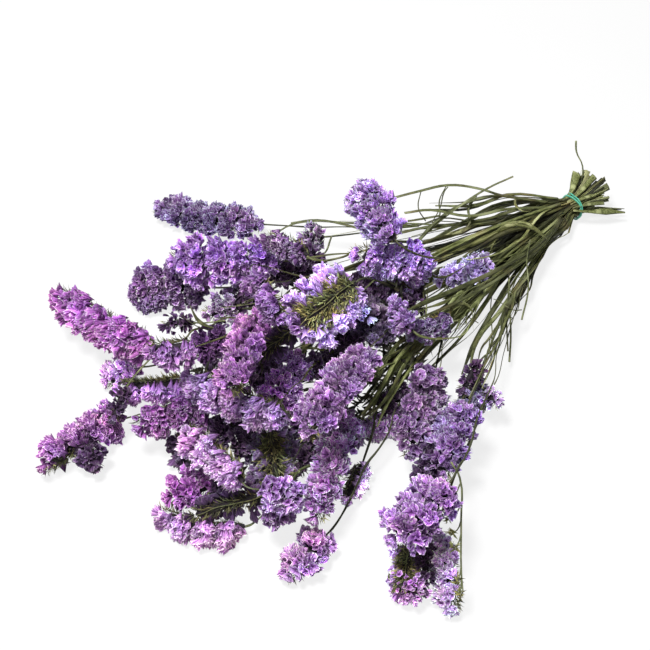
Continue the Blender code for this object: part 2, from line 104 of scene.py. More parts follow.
MM = 0.001
BAND_LOW, BAND_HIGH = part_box("rubber_band")
TIE = Vector((0.5 * (BAND_LOW.x + BAND_HIGH.x), 0.5 * (BAND_LOW.y + BAND_HIGH.y), 0.0))
INTO_FRAME = Matrix.Translation(TIE) @ Matrix.Scale(MM, 4)

# The bunch's own plan, as its solids have it
STEM_RADIUS = 2.2
STEM_END_RADIUS = 1.6
BRANCH_RADIUS = 1.25
SLOT_PITCH = 5.0
BAND_INNER_RADIUS = 12.8
BAND_THICKNESS = 1.6
TIE_HEIGHT = BAND_INNER_RADIUS + BAND_THICKNESS
TIE_HALF_LENGTH = 9.0
# The beads of a stem from its cut end until it leaves the band, and the spacing of the others.
IN_BAND = 4
BEAD_SPACING = 19.0
GAP = 0.4
LAST_RUN = 7.0
CLEARANCE = 1.1
FORK_ANGLE = math.radians(34)
HEAD_SIDES = 8
HEAD_TIER = 15.0
HEAD_FILL = 0.90
HEAD_KNOB = 0.09
HEAD_GAP = 1.0
HEAD_SLIDE = (-0.37, -0.53, 0.77)
REST_DEPTH = 2.0

# A head is its letter, the start, middle and tip of its spike, its width across and its depth from back to
# front, the way its florets face, its shade, and whether it rests on the surface. The first head of a stem ends
# the stem, and the others are on branches.
Head = namedtuple("Head", "letter base middle tip width depth face shade rests")
# A stem is its place in the band in half pitches across and rows up, its cut end, and its heads.
Stem = namedtuple("Stem", "slot cut_end heads")

STEMS = (
    Stem((4, 0), (37, 30, 17), (
        Head("a", (-275, 165, 14), (-315, 205, 14), (-348, 250, 14), 42, 27, (0.1, 0.1, 1.0), "dusky", True),
        Head("b", (-254, 84, 48), (-262, 90, 47), (-272, 98, 46), 22, 19, (-0.9, 0.2, 0.4), "mauve", False),
    )),
    Stem((3, 1), (37, 21, 29), (
        Head("a", (-315, 73, 60), (-355, 102, 57), (-392, 135, 54), 44, 30, (-0.5, -0.8, 0.3), "violet", False),
        Head("b", (-305, 38, 92), (-312, 57, 91), (-323, 78, 90), 25, 22, (-0.8, -0.6, -0.1), "dusky", False),
    )),
    Stem((3, -1), (33, 17, 7), (
        Head("a", (-367, 117, 16), (-398, 138, 16), (-432, 150, 16), 42, 32, (-0.9, -0.1, 0.3), "dusky", True),
        Head("b", (-365, 67, 36), (-377, 72, 34), (-392, 78, 32), 26, 20, (-1.0, 0.2, 0.2), "mauve", False),
    )),
    Stem((1, 1), (38, 6, 24), (
        Head("a", (-458, 58, 50), (-478, 104, 45), (-496, 174, 40), 32, 36, (-0.9, -0.5, -0.2), "magenta", False),
        Head("b", (-435, 10, 84), (-452, 18, 82), (-468, 30, 80), 27, 27, (-0.7, -0.7, -0.3), "lilac", False),
    )),
    Stem((2, 0), (30, 11, 14), (
        Head("a", (-466, 73, 14), (-483, 79, 14), (-500, 78, 14), 32, 27, (-0.9, 0.2, 0.4), "violet", True),
        Head("b", (-446, 16, 34), (-476, 30, 33), (-503, 48, 32), 26, 25, (-0.5, -0.7, -0.5), "lilac", False),
        Head("c", (-402, 22, 58), (-418, 25, 57), (-434, 28, 56), 30, 26, (-0.7, -0.6, 0.4), "dusky", False),
    )),
    Stem((1, -1), (35, 6, 7), (
        Head("a", (-508, 28, 15), (-545, 32, 15), (-588, 23, 15), 38, 28, (-1.0, 0.1, 0.1), "dusky", True),
        Head("b", (-448, -20, 40), (-475, -9, 38), (-507, -2, 36), 36, 27, (-0.6, -0.8, 0.1), "magenta", False),
    )),
    Stem((0, 0), (34, 0, 15), (
        Head("a", (-410, -88, 74), (-433, -50, 70), (-453, 2, 66), 30, 33, (-0.9, -0.5, 0.0), "lilac", False),
        Head("b", (-482, -43, 11), (-482, -28, 11), (-480, -12, 11), 23, 20, (-0.9, -0.1, -0.3), "mauve", True),
    )),
    Stem((-1, -1), (31, -5, 8), (
        Head("a", (-465, -103, 48), (-470, -70, 46), (-476, -34, 44), 32, 30, (-1.0, -0.3, -0.1), "lilac", False),
        Head("b", (-466, -73, 13), (-490, -66, 13), (-515, -60, 13), 30, 24, (-0.9, 0.1, 0.5), "magenta", True),
        Head("c", (-478, -121, 16), (-509, -103, 15), (-528, -68, 15), 24, 26, (-0.5, -0.8, -0.3), "lilac", True),
    )),
    Stem((0, -2), (37, 1, 4), (
        Head("a", (-422, -78, 50), (-437, -105, 39), (-452, -137, 28), 43, 27, (0.1, 0.1, -1.0), "mauve", False),
        Head("b", (-347, -12, 30), (-372, -27, 25), (-398, -42, 20), 37, 28, (-0.5, -0.7, 0.5), "dusky", False),
    )),
    Stem((2, 2), (31, 10, 32), (
        Head("a", (-372, 5, 86), (-406, -21, 89), (-440, -50, 92), 34, 27, (-0.8, 0.0, 0.7), "violet", False),
        Head("b", (-362, 32, 106), (-367, 6, 105), (-370, -21, 104), 22, 22, (-1.0, -0.2, 0.2), "mauve", False),
    )),
    Stem((-2, 2), (36, -11, 32), (
        Head("a", (-296, -22, 104), (-328, -26, 101), (-364, -32, 98), 55, 30, (-0.3, 0.4, -0.9), "lavender", False),
        Head("b", (-277, -61, 58), (-285, -38, 60), (-290, -10, 62), 40, 27, (0.2, -0.2, 0.9), "lavender", False),
    )),
    Stem((0, 2), (40, -1, 33), (
        Head("a", (-236, 2, 102), (-234, 33, 107), (-227, 67, 112), 36, 28, (-0.6, 0.2, 0.8), "violet", False),
        Head("b", (-211, -25, 66), (-234, -3, 77), (-268, 16, 88), 43, 29, (-0.6, -0.8, 0.2), "violet", False),
    )),
    Stem((-1, 1), (33, -6, 22), (
        Head("a", (-316, -70, 76), (-362, -91, 80), (-410, -114, 84), 35, 27, (-0.5, 0.1, 0.9), "mauve", False),
        Head("b", (-308, -115, 13), (-333, -102, 13), (-358, -92, 13), 28, 24, (-0.6, -0.8, 0.0), "lilac", True),
    )),
    Stem((-2, 0), (38, -12, 14), (
        Head("a", (-357, -96, 48), (-392, -126, 42), (-434, -160, 36), 31, 27, (-0.8, -0.1, 0.6), "magenta", False),
        Head("b", (-362, -127, 11), (-376, -137, 11), (-393, -147, 11), 22, 20, (0.0, -0.8, -0.6), "lilac", True),
        Head("c", (-427, -166, 15), (-448, -171, 15), (-473, -177, 15), 32, 26, (-0.8, 0.0, 0.6), "lilac", True),
    )),
    Stem((-3, 1), (32, -18, 24), (
        Head("a", (-268, -103, 50), (-297, -124, 42), (-333, -155, 34), 36, 28, (-0.6, -0.8, 0.2), "lilac", False),
        Head("b", (-277, -80, 84), (-278, -66, 87), (-272, -48, 90), 21, 20, (-0.9, 0.1, 0.5), "mauve", False),
        Head("c", (-230, -78, 62), (-249, -72, 61), (-268, -69, 60), 25, 22, (-0.6, -0.8, 0.0), "dusky", False),
        Head("d", (-141, -35, 48), (-168, -31, 49), (-200, -28, 50), 28, 22, (-0.3, 0.0, 0.9), "lavender", False),
    )),
    Stem((-4, 0), (42, -33, 14), (
        Head("a", (-269, -149, 46), (-299, -166, 41), (-330, -188, 36), 33, 27, (-0.6, 0.0, 0.8), "mauve", False),
        Head("b", (-340, -208, 62), (-370, -214, 58), (-402, -218, 54), 42, 34, (-1.0, 0.0, 0.3), "violet", False),
        Head("c", (-376, -213, 14), (-394, -229, 14), (-410, -246, 14), 28, 24, (-0.1, 0.0, -1.0), "dusky", True),
    )),
    Stem((-3, -1), (30, -19, 7), (
        Head("a", (-224, -122, 14), (-246, -131, 14), (-276, -140, 14), 27, 25, (-0.3, -0.9, 0.2), "lavender", True),
        Head("b", (-238, -138, 34), (-238, -146, 33), (-236, -155, 32), 17, 16, (0.0, -0.5, 0.6), "mauve", False),
        Head("c", (-349, -216, 14), (-369, -247, 14), (-386, -275, 14), 28, 26, (-0.9, 0.1, 0.5), "lilac", True),
    )),
)


# What the solids leave out, in the bunch's own millimetres. Sprigs are small spikes low down between the heads.
UP_FACE, DOWN_FACE = (-0.4, -0.5, 0.75), (0.4, 0.5, -0.75)
Sprig = namedtuple("Sprig", "base tip width face shade")

SPRIGS = (
    Sprig((-350, -10, 70), (-396, -18, 66), 22, DOWN_FACE, "mauve"),
    Sprig((-365, 0, 30), (-405, -14, 26), 24, UP_FACE, "dusky"),
    Sprig((-420, -33, 22), (-462, -39, 20), 24, UP_FACE, "dusky"),
    Sprig((-322, 78, 30), (-370, 80, 26), 28, UP_FACE, "dusky"),
    Sprig((-415, 54, 58), (-440, 68, 58), 17, UP_FACE, "mauve"),
    Sprig((-452, -113, 26), (-512, -93, 22), 24, DOWN_FACE, "dusky"),
    Sprig((-208, -13, 40), (-250, -8, 38), 24, UP_FACE, "dusky"),
    Sprig((-268, 68, 44), (-325, 72, 40), 26, UP_FACE, "dusky"),
    Sprig((-380, -86, 24), (-414, -107, 20), 24, UP_FACE, "dusky"),
    Sprig((-545, 26, 22), (-552, -2, 14), 24, UP_FACE, "mauve"),
    Sprig((-497, 38, 40), (-518, 20, 34), 18, UP_FACE, "dusky"),
    Sprig((-288, -92, 24), (-322, -103, 20), 24, UP_FACE, "dusky"),
    Sprig((-308, -166, 38), (-344, -180, 34), 24, UP_FACE, "dusky"),
    Sprig((-217, -109, 30), (-250, -124, 26), 18, UP_FACE, "mauve"),
    Sprig((-265, 20, 46), (-308, -10, 42), 26, UP_FACE, "dusky"),
    Sprig((-384, -70, 20), (-424, -76, 18), 24, UP_FACE, "dusky"),
    Sprig((-303, -26, 24), (-350, -30, 22), 26, UP_FACE, "dusky"),
    Sprig((-396, 22, 40), (-430, 5, 34), 22, UP_FACE, "dusky"),
    Sprig((-459, -124, 60), (-444, -150, 50), 25, UP_FACE, "lilac"),
    Sprig((-462, -127, 40), (-449, -147, 34), 24, UP_FACE, "mauve"),
    Sprig((-410, -236, 16), (-394, -254, 13), 18, UP_FACE, "lilac"),
    Sprig((-363, -217, 16), (-393, -252, 14), 18, UP_FACE, "dusky"),
    Sprig((-318, -17, 44), (-292, -42, 42), 26, UP_FACE, "dusky"),
    Sprig((-267, 22, 48), (-250, -10, 44), 24, UP_FACE, "dusky"),
    Sprig((-244, -13, 40), (-228, -37, 36), 20, UP_FACE, "dusky"),
    Sprig((-488, -87, 26), (-457, -95, 22), 18, UP_FACE, "dusky"),
    Sprig((-450, -60, 28), (-428, -66, 26), 24, UP_FACE, "dusky"),
    Sprig((-301, -28, 80), (-294, -44, 76), 14, UP_FACE, "lavender"),
)

# A loose twig's radius and the points that it passes.
LOOSE_TWIGS = (
    (0.9, ((-137, -53, 40), (-150, -71, 30), (-165, -93, 16), (-185, -115, 10))),
    (0.7, ((-153, 43, 44), (-140, 48, 52), (-129, 56, 62), (-125, 56, 66))),
    (1.2, ((-135, 19, 40), (-124, 20, 46), (-117, 32, 50), (-103, 38, 56))),
    (1.2, (
        (-291, 122, 34), (-273, 123, 40), (-251, 115, 42), (-214, 89, 40), (-175, 66, 38), (-134, 53, 34),
    )),
    (1.9, (
        (-193, 72, 72), (-158, 59, 76), (-131, 50, 76), (-102, 37, 66), (-80, 25, 54), (-43, 14, 36),
        (-8, 3, 20),
    )),
    (0.8, ((-132, 51, 75), (-140, 50, 60), (-144, 43, 46), (-155, 42, 34))),
    (0.7, ((-157, 59, 75), (-164, 53, 62), (-160, 45, 48))),
    (1.4, ((-74, 20, 80), (-98, 29, 70), (-123, 35, 58), (-146, 39, 46), (-178, 36, 36))),
    (2.0, ((-181, 53, 64), (-155, 45, 60), (-126, 22, 54), (-84, 14, 46), (-39, 6, 30), (-5, 2, 18))),
    (2.0, ((-182, 33, 36), (-151, 40, 46), (-113, 37, 54), (-79, 29, 50), (-42, 14, 34), (-5, 4, 20))),
    (1.6, ((-262, 130, 34), (-243, 112, 42), (-222, 88, 42), (-200, 60, 40), (-160, 44, 40), (-90, 18, 30))),
    (0.6, ((-143, -41, 26), (-166, -64, 22), (-186, -90, 18), (-199, -99, 16))),
    (0.5, ((-172, -47, 24), (-194, -61, 32), (-187, -71, 24))),
    (0.5, ((-175, -76, 28), (-164, -78, 32), (-156, -83, 22))),
    (1.0, ((23, 13, 24), (32, 24, 36), (31, 35, 48), (35, 42, 56))),
    (0.7, ((-128, -44, 40), (-146, -64, 34), (-166, -86, 28), (-184, -110, 20))),
    (0.6, ((-120, -56, 30), (-134, -54, 40), (-144, -62, 40), (-146, -76, 30))),
    (0.6, ((-160, -60, 30), (-166, -72, 42), (-158, -84, 36), (-146, -84, 28))),
    (0.8, ((-90, -30, 44), (-112, -50, 44), (-128, -72, 34), (-150, -90, 22))),
)

# A curled leaf's half width, its lightness and the points that it passes.
CURLED_LEAVES = (
    (1.5, 1.1, ((-116, -13, 44), (-115, -11, 56), (-109, -16, 62), (-93, -27, 60), (-78, -39, 46))),
    (1.6, 1.1, ((-119, -36, 52), (-111, -39, 58), (-97, -44, 56), (-83, -47, 44))),
    (2.0, 1.1, ((-223, -69, 50), (-213, -61, 54), (-199, -66, 52), (-206, -84, 40))),
    (2.0, 1.1, ((-68, 18, 48), (-77, 5, 52), (-73, -3, 50), (-56, -1, 48))),
    (1.6, 1.1, ((-106, 4, 42), (-88, -12, 52), (-77, -24, 46), (-69, -34, 34))),
    (1.9, 0.4, ((-405, 36, 58), (-418, 45, 64), (-427, 62, 74))),
    (1.7, 0.4, ((-402, 36, 58), (-414, 46, 66), (-416, 58, 78))),
    (1.6, 0.4, ((-300, 60, 46), (-318, 50, 56), (-336, 56, 60))),
)

# Flat leafless ribbons over the stems, each of them laid a few times over, a little apart.
RIBBON_COPIES = 3
RIBBONS = (
    ((-27, -9, 26), (-123, -27, 30), (-202, -48, 28), (-260, -62, 24), (-328, -77, 18)),
    ((-27, -9, 24), (-123, -35, 26), (-205, -59, 22), (-256, -72, 18), (-302, -81, 12)),
    ((-24, -8, 26), (-134, -24, 34), (-217, -50, 32), (-267, -56, 26), (-327, -64, 20)),
    ((-25, -12, 22), (-123, -43, 24), (-195, -69, 18), (-229, -75, 16), (-257, -81, 12)),
    ((-26, -13, 22), (-108, -40, 24), (-169, -67, 20), (-204, -83, 16), (-229, -100, 12)),
    ((-26, -10, 24), (-115, -35, 32), (-181, -60, 28), (-210, -70, 22)),
    ((-25, -13, 20), (-103, -45, 22), (-165, -78, 18), (-193, -96, 14)),
    ((-21, 0, 30), (-103, 1, 46), (-176, 4, 52), (-217, 4, 50)),
    ((-17, 4, 28), (-66, 26, 36), (-119, 26, 42), (-172, 23, 44)),
    ((-16, 8, 28), (-72, 29, 46), (-110, 37, 48), (-141, 62, 44)),
    ((-30, -14, 26), (-68, -33, 36), (-133, -49, 50), (-187, -54, 58), (-234, -54, 64), (-258, -54, 68)),
    (
        (-30, -12, 26), (-110, -36, 38), (-180, -54, 44), (-240, -64, 48), (-284, -76, 52), (-318, -94, 50),
        (-346, -105, 46),
    ),
    (
        (-30, -14, 24), (-120, -42, 36), (-190, -62, 42), (-246, -72, 45), (-290, -84, 46), (-322, -98, 44),
        (-340, -112, 38),
    ),
    (
        (-28, -12, 24), (-115, -38, 34), (-185, -52, 38), (-236, -58, 40), (-278, -66, 44), (-308, -82, 44),
        (-330, -96, 40),
    ),
)

# Broad leafy bases beyond the band: half width at the band, half width at the end, and the points passed.
HUSKS = (
    (2.4, 6.0, ((-8, 6, 22), (4, 9, 25), (15, 16, 29), (24, 22, 31))),
    (2.2, 3.6, ((-8, 1, 24), (8, 2, 27), (22, 5, 30), (35, 8, 32))),
    (2.0, 2.8, ((-8, -3, 24), (6, -5, 26), (18, -8, 27), (30, -11, 28))),
    (2.0, 2.8, ((-8, -6, 22), (4, -11, 23), (13, -16, 24), (22, -21, 24))),
    (3.2, 0.8, ((-8, -8, 20), (6, -19, 19), (20, -27, 18), (38, -38, 15))),
)

# The twig beside the lowest spike keeps only its dry buds.
BUD_TWIG = ((-320, -190, 56), (-322, -204, 52), (-343, -232, 46), (-369, -265, 38), (-376, -276, 34))
BUDS = (
    (-338, -212, 48), (-350, -225, 44), (-354, -236, 43), (-361, -246, 40), (-374, -267, 34), (-378, -275, 30),
)

# The middle of the flowering part, and how far from it the low leaves tinted as painted shade grow.
MIDDLE = (-345.0, -25.0)
MIDDLE_REACH = (108.0, 75.0)

# A twig to a sprig leaves its stem at least this much nearer the band.
TWIG_LEAD = 18.0


def unit(vector):
    return vector / np.linalg.norm(vector)


def through(start, middle, end, t):
    """The point and tangent at t of the smooth arc that passes start, middle and end at 0, a half and 1."""
    handle = 2 * middle - 0.5 * (start + end)
    point = (1 - t) ** 2 * start + 2 * t * (1 - t) * handle + t**2 * end
    return point, unit(2 * (1 - t) * (handle - start) + 2 * t * (end - handle))


def bezier(start, leave, arrive, end, count):
    """Points of the smooth curve from start to end that sets off towards leave and comes in from arrive."""
    t = np.linspace(0, 1, count)[:, None]
    return (1 - t) ** 3 * start + 3 * t * (1 - t) ** 2 * leave + 3 * t**2 * (1 - t) * arrive + t**3 * end

class Spike:
    """The arc of a head, lowered or raised so that a resting one just meets the surface."""

    def __init__(self, head):
        self.head = head
        self.arc = [np.array(point, float) for point in (head.base, head.middle, head.tip)]
        length = np.linalg.norm(self.arc[1] - self.arc[0]) + np.linalg.norm(self.arc[2] - self.arc[1])
        self.rings = 2 * max(2, round(length / HEAD_TIER)) + 1
        self.face = unit(np.array(head.face))
        if head.rests:
            drop = min(point[2] for ring in self.outline() for point in ring) + REST_DEPTH
            self.arc = [point - np.array((0.0, 0.0, drop)) for point in self.arc]

    def point(self, t):
        return through(*self.arc, t)

    def fullness(self, t):
        """The share of the head's full size at t: small where the stem enters, blunt at the tip."""
        return min(1.0, 0.36 + 4.2 * t) * min(1.0, 0.55 + 3.0 * (1 - t))

    def section(self, t):
        """The centre at t, the ways across and to the front, and half of the width and the depth there."""
        centre, along = self.point(t)
        across = unit(np.cross(along, self.face))
        half = 0.5 * HEAD_FILL * self.fullness(t)
        return centre, across, np.cross(across, along), half * self.head.width, half * self.head.depth

    def outline(self):
        rings = []
        for i in range(self.rings):
            centre, across, front, half_width, half_depth = self.section(i / (self.rings - 1))
            rings.append([])
            for j in range(HEAD_SIDES):
                turn = 2 * math.pi * (j + 0.5) / HEAD_SIDES
                size = 1 + HEAD_KNOB * (-1) ** (i + j)
                reach = front * half_depth * math.cos(turn) + across * half_width * math.sin(turn)
                rings[-1].append(centre + size * reach)
        return rings

    def capsules(self):
        """The head's bulk as rows of start, end and radius: one run, or two side by side where it is broad."""
        steps = [self.section(t) for t in np.linspace(0.0, 1.0, 6)]
        rows = []
        for one, two in zip(steps, steps[1:]):
            (a, across_a, front_a, wide_a, deep_a), (b, across_b, front_b, wide_b, deep_b) = one, two
            thin = min(max(wide_a, wide_b), max(deep_a, deep_b))
            side_a = across_a * max(wide_a - thin, 0.0) + front_a * max(deep_a - thin, 0.0)
            side_b = across_b * max(wide_b - thin, 0.0) + front_b * max(deep_b - thin, 0.0)
            for sign in (-1, 1):
                rows.append((a + sign * side_a, b + sign * side_b, thin * (1 + HEAD_KNOB)))
        return rows


def slide_order(start, end, owner, i, j, slide):
    """For each pair of capsules, 1 where the first one's head is the upper one where the heads cross, or -1."""
    flat_start = start - (start @ slide)[:, None] * slide
    flat_end = end - (end @ slide)[:, None] * slide
    s, t, step = closest(flat_start[i], flat_end[i], flat_start[j], flat_end[j])
    level_i = (start[i] + (end[i] - start[i]) * s[:, None]) @ slide
    level_j = (start[j] + (end[j] - start[j]) * t[:, None]) @ slide
    nearest = {}
    for k in np.argsort(np.linalg.norm(step, axis=1), kind="stable"):
        nearest.setdefault((owner[i[k]], owner[j[k]]), 1.0 if level_i[k] >= level_j[k] else -1.0)
    return np.array([nearest[owner[i[k]], owner[j[k]]] for k in range(len(i))])


def ease_heads(spikes, rounds):
    """Parts heads that would meet, each sliding along one slanting line so that the bunch keeps its spread."""
    slide = unit(np.array(HEAD_SLIDE))
    rows = [(k, *row) for k, spike in enumerate(spikes) for row in spike.capsules()]
    owner = np.array([row[0] for row in rows])
    start, end, radius = (np.array([row[i] for row in rows], float) for i in (1, 2, 3))
    held = np.array([spike.head.rests for spike in spikes])
    lowest = np.array([min(point[2] for ring in spike.outline() for point in ring) for spike in spikes])
    i, j = np.triu_indices(len(rows), 1)
    apart = (owner[i] != owner[j]) & ~(held[owner[i]] & held[owner[j]])
    i, j = i[apart], j[apart]
    order = slide_order(start, end, owner, i, j, slide)
    shift = np.zeros(len(spikes))
    for _ in range(rounds):
        offset = shift[owner][:, None] * slide
        a, b = start + offset, end + offset
        _, _, step = closest(a[i], b[i], a[j], b[j])
        distance = np.linalg.norm(step, axis=1)
        short = radius[i] + radius[j] + HEAD_GAP - distance
        for k in np.nonzero(short > 0)[0]:
            one, two = owner[i[k]], owner[j[k]]
            share = 1.0 if held[one] or held[two] else 0.5
            push = 0.25 * share * short[k] * order[k]
            shift[one] += 0.0 if held[one] else push
            shift[two] -= 0.0 if held[two] else push
        floor = (0.6 - lowest) / slide[2]
        shift = np.where(held, 0.0, np.maximum(shift, floor))
    for spike, amount in zip(spikes, shift):
        spike.arc = [point + amount * slide for point in spike.arc]


# Stems: smooth runs from the cut end through the band to each head, eased apart until none of them touch


class Strand:
    """One run of a stem: its beads, their radii, and the bead of the main run that a branch leaves from."""

    def __init__(self, stem, spike, points, radii, fixed, parent=None):
        self.stem = stem
        self.spike = spike
        self.points = np.array(points, float)
        self.radii = np.array(radii, float)
        self.fixed = np.array(fixed, bool)
        self.parent = parent


def head_entry(spike):
    """Where a stem stops short of its head, and the direction that it arrives in."""
    start, along = spike.point(0.0)
    return start - along * GAP, along


def main_strand(number, stem, spike):
    """A stem from its cut end, straight through the band, to its first head."""
    across, up = 0.5 * SLOT_PITCH * stem.slot[0], SLOT_PITCH * math.sqrt(0.75) * stem.slot[1]
    slot = np.array((0.0, across, TIE_HEIGHT + up))
    forward = np.array((TIE_HALF_LENGTH, 0.0, 0.0))
    leave = slot - forward
    end, along = head_entry(spike)
    reach = np.linalg.norm(end - leave)
    count = max(5, round(reach / BEAD_SPACING) + 1)
    heading = unit(np.array((-1.0, 0.10 * across / SLOT_PITCH, 0.05 * up / SLOT_PITCH)))
    run = bezier(leave, leave + heading * 0.35 * reach, end - along * min(0.3 * reach, 60.0), end, count)
    run[-2] = end - along * LAST_RUN
    points = np.vstack([np.array(stem.cut_end, float), slot + forward, slot, run])
    radii = np.linspace(STEM_RADIUS, STEM_END_RADIUS, len(points))
    fixed = [True] * IN_BAND + [False] * (count - 3) + [True] * 2
    return Strand(number, spike, points, radii, fixed)


def branch_strand(number, main, spike):
    """A side branch to a further head, from the bead where it forks off the stem."""
    end, along = head_entry(spike)
    gaps = np.linalg.norm(main.points - end, axis=1)
    foot = int(np.argmin(gaps[IN_BAND:-2])) + IN_BAND
    back = gaps[foot] / math.tan(FORK_ANGLE) + 12.0
    fork = max(5, foot - round(back / BEAD_SPACING))
    start = main.points[fork]
    reach = np.linalg.norm(end - start)
    count = max(4, round(reach / BEAD_SPACING) + 1)
    heading = unit(unit(main.points[fork + 1] - main.points[fork]) + 0.9 * unit(end - start))
    run = bezier(start, start + heading * 0.3 * reach, end - along * min(0.3 * reach, 40.0), end, count)
    run[-2] = end - along * LAST_RUN
    fixed = [True] + [False] * (count - 3) + [True] * 2
    return Strand(number, spike, run, [BRANCH_RADIUS] * count, fixed, parent=(main, fork))


def closest(a, b, c, d):
    """For rows of segments a-b and c-d: the shares along them of their nearest points, and the step between."""
    u, v, w = b - a, d - c, a - c
    uu, uv, vv = (u * u).sum(1), (u * v).sum(1), (v * v).sum(1)
    uw, vw = (u * w).sum(1), (v * w).sum(1)
    area = np.maximum(uu * vv - uv * uv, 1e-9)
    s = np.clip((uv * vw - vv * uw) / area, 0, 1)
    t = np.clip((uv * s + vw) / vv, 0, 1)
    s = np.clip((uv * t - uw) / uu, 0, 1)
    return s, t, (a + u * s[:, None]) - (c + v * t[:, None])


class Bundle:
    """All the strands' beads in one array, with the head arcs as fixed capsules."""

    def __init__(self, strands, spikes):
        self.strands = strands
        self.start = np.cumsum([0] + [len(strand.points) for strand in strands])
        self.points = np.vstack([strand.points for strand in strands])
        self.first = self.points.copy()
        self.radii = np.concatenate([strand.radii for strand in strands])
        self.fixed = np.concatenate([strand.fixed for strand in strands])
        self.tied = [
            (self.start[i], self.start[self.index(strand.parent[0])] + strand.parent[1])
            for i, strand in enumerate(strands)
            if strand.parent
        ]
        self.segments = np.concatenate(
            [np.arange(self.start[i], self.start[i + 1] - 1) for i in range(len(strands))]
        )
        self.owner = np.concatenate([[s.stem] * (len(s.points) - 1) for s in strands])
        self.ends_at = [None] * len(self.segments)
        last = 0
        for strand in strands:
            last += len(strand.points) - 1
            self.ends_at[last - 1] = self.ends_at[last - 2] = strand.spike
        self.capsules = self.head_capsules(spikes)
        self.pair()

    def index(self, strand):
        return next(i for i, other in enumerate(self.strands) if other is strand)

    def head_capsules(self, spikes):
        return [(*row, spike) for spike in spikes for row in spike.capsules()]

    def pair(self):
        i, j = np.triu_indices(len(self.segments), 1)
        apart = self.owner[i] != self.owner[j]
        self.pairs = np.array((i[apart], j[apart]))
        self.head_pairs = np.array(
            [
                (i, k)
                for i in range(len(self.segments))
                for k, row in enumerate(self.capsules)
                if self.ends_at[i] is not row[3]
            ]
        ).T
        self.head_a = np.array([row[0] for row in self.capsules])
        self.head_b = np.array([row[1] for row in self.capsules])
        self.head_r = np.array([row[2] for row in self.capsules])
        slide = unit(np.array(HEAD_SLIDE))
        self.way_out = np.array([slide if row[3].head.rests else -slide for row in self.capsules])

    def nearby(self, spare):
        """The pairs whose segments' middles are close enough to matter for the next few steps."""
        low, high = self.points[self.segments], self.points[self.segments + 1]
        middle, half = 0.5 * (low + high), 0.5 * np.linalg.norm(high - low, axis=1)
        i, j = self.pairs
        near = np.linalg.norm(middle[i] - middle[j], axis=1) < half[i] + half[j] + 6.0 + spare
        k, m = self.head_pairs
        head_middle = 0.5 * (self.head_a + self.head_b)
        head_half = 0.5 * np.linalg.norm(self.head_b - self.head_a, axis=1)
        reach = half[k] + head_half[m] + self.head_r[m] + 4.0 + spare
        near_head = np.linalg.norm(middle[k] - head_middle[m], axis=1) < reach
        return self.pairs[:, near], self.head_pairs[:, near_head]

    def gaps(self, pairs, head_pairs):
        """Each pair's shortfall below its clearance, with the shares and the direction to part them in."""
        seg = self.segments
        i, j = pairs
        s, t, step = closest(
            self.points[seg[i]], self.points[seg[i] + 1], self.points[seg[j]], self.points[seg[j] + 1]
        )
        distance = np.linalg.norm(step, axis=1)
        short = self.radii[seg[i]] + self.radii[seg[j]] + CLEARANCE - distance
        k, m = head_pairs
        sk, _, step_k = closest(self.points[seg[k]], self.points[seg[k] + 1], self.head_a[m], self.head_b[m])
        distance_k = np.linalg.norm(step_k, axis=1)
        short_k = self.radii[seg[k]] + self.head_r[m] + CLEARANCE - distance_k
        return (i, j, s, t, step, distance, short), (k, m, sk, step_k, distance_k, short_k)

    def ease(self, rounds):
        """Parts the strands from each other and from the heads, a little in each round."""
        seg = self.segments
        free = ~self.fixed
        for n in range(rounds):
            if n % 8 == 0:
                pairs, head_pairs = self.nearby(10.0)
            stems, heads = self.gaps(pairs, head_pairs)
            i, j, s, t, step, distance, short = stems
            move = np.zeros_like(self.points)
            weight = np.zeros(len(self.points))
            hit = short > 0
            push = unit_rows(step[hit], distance[hit]) * short[hit][:, None] * 0.5
            for index, share, sign in ((i, s, 1.0), (j, t, -1.0)):
                self.spread(move, weight, seg[index[hit]], share[hit], push * sign)
            k, m, sk, step_k, distance_k, short_k = heads
            hit = short_k > 0
            away = unit_rows(step_k[hit], distance_k[hit])
            deep = distance_k[hit] < 0.75 * self.head_r[m[hit]]
            away[deep] = self.way_out[m[hit]][deep]
            push = away * short_k[hit][:, None]
            self.spread(move, weight, seg[k[hit]], sk[hit], push)
            move[weight > 0] /= np.maximum(weight[weight > 0], 1.0)[:, None]
            self.points[free] += 0.9 * move[free]
            if n < rounds - 14:
                self.smooth(0.5 if n < rounds * 0.7 else 0.2)
            self.points[:, 2] = np.maximum(self.points[:, 2], self.radii + 0.4)
            for child, parent in self.tied:
                self.points[child] = self.points[parent]

    @staticmethod
    def spread(move, weight, segment, share, push):
        for offset, part in ((0, 1 - share), (1, share)):
            np.add.at(move, segment + offset, push * (0.4 + 0.9 * part)[:, None])
            np.add.at(weight, segment + offset, (part > 0.05) * 1.0)

    def smooth(self, amount):
        """Evens out how far the beads have moved along each strand."""
        shift = self.points - self.first
        for i in range(len(self.strands)):
            low, high = self.start[i], self.start[i + 1]
            run = shift[low:high]
            even = 0.5 * (run[:-2] + run[2:])
            inner = ~self.fixed[low + 1 : high - 1]
            run[1:-1][inner] += amount * (even[inner] - run[1:-1][inner])
        self.points = self.first + shift

    def hand_back(self):
        for i, strand in enumerate(self.strands):
            strand.points = self.points[self.start[i] : self.start[i + 1]]


def unit_rows(step, distance):
    return step / np.maximum(distance, 1e-6)[:, None]


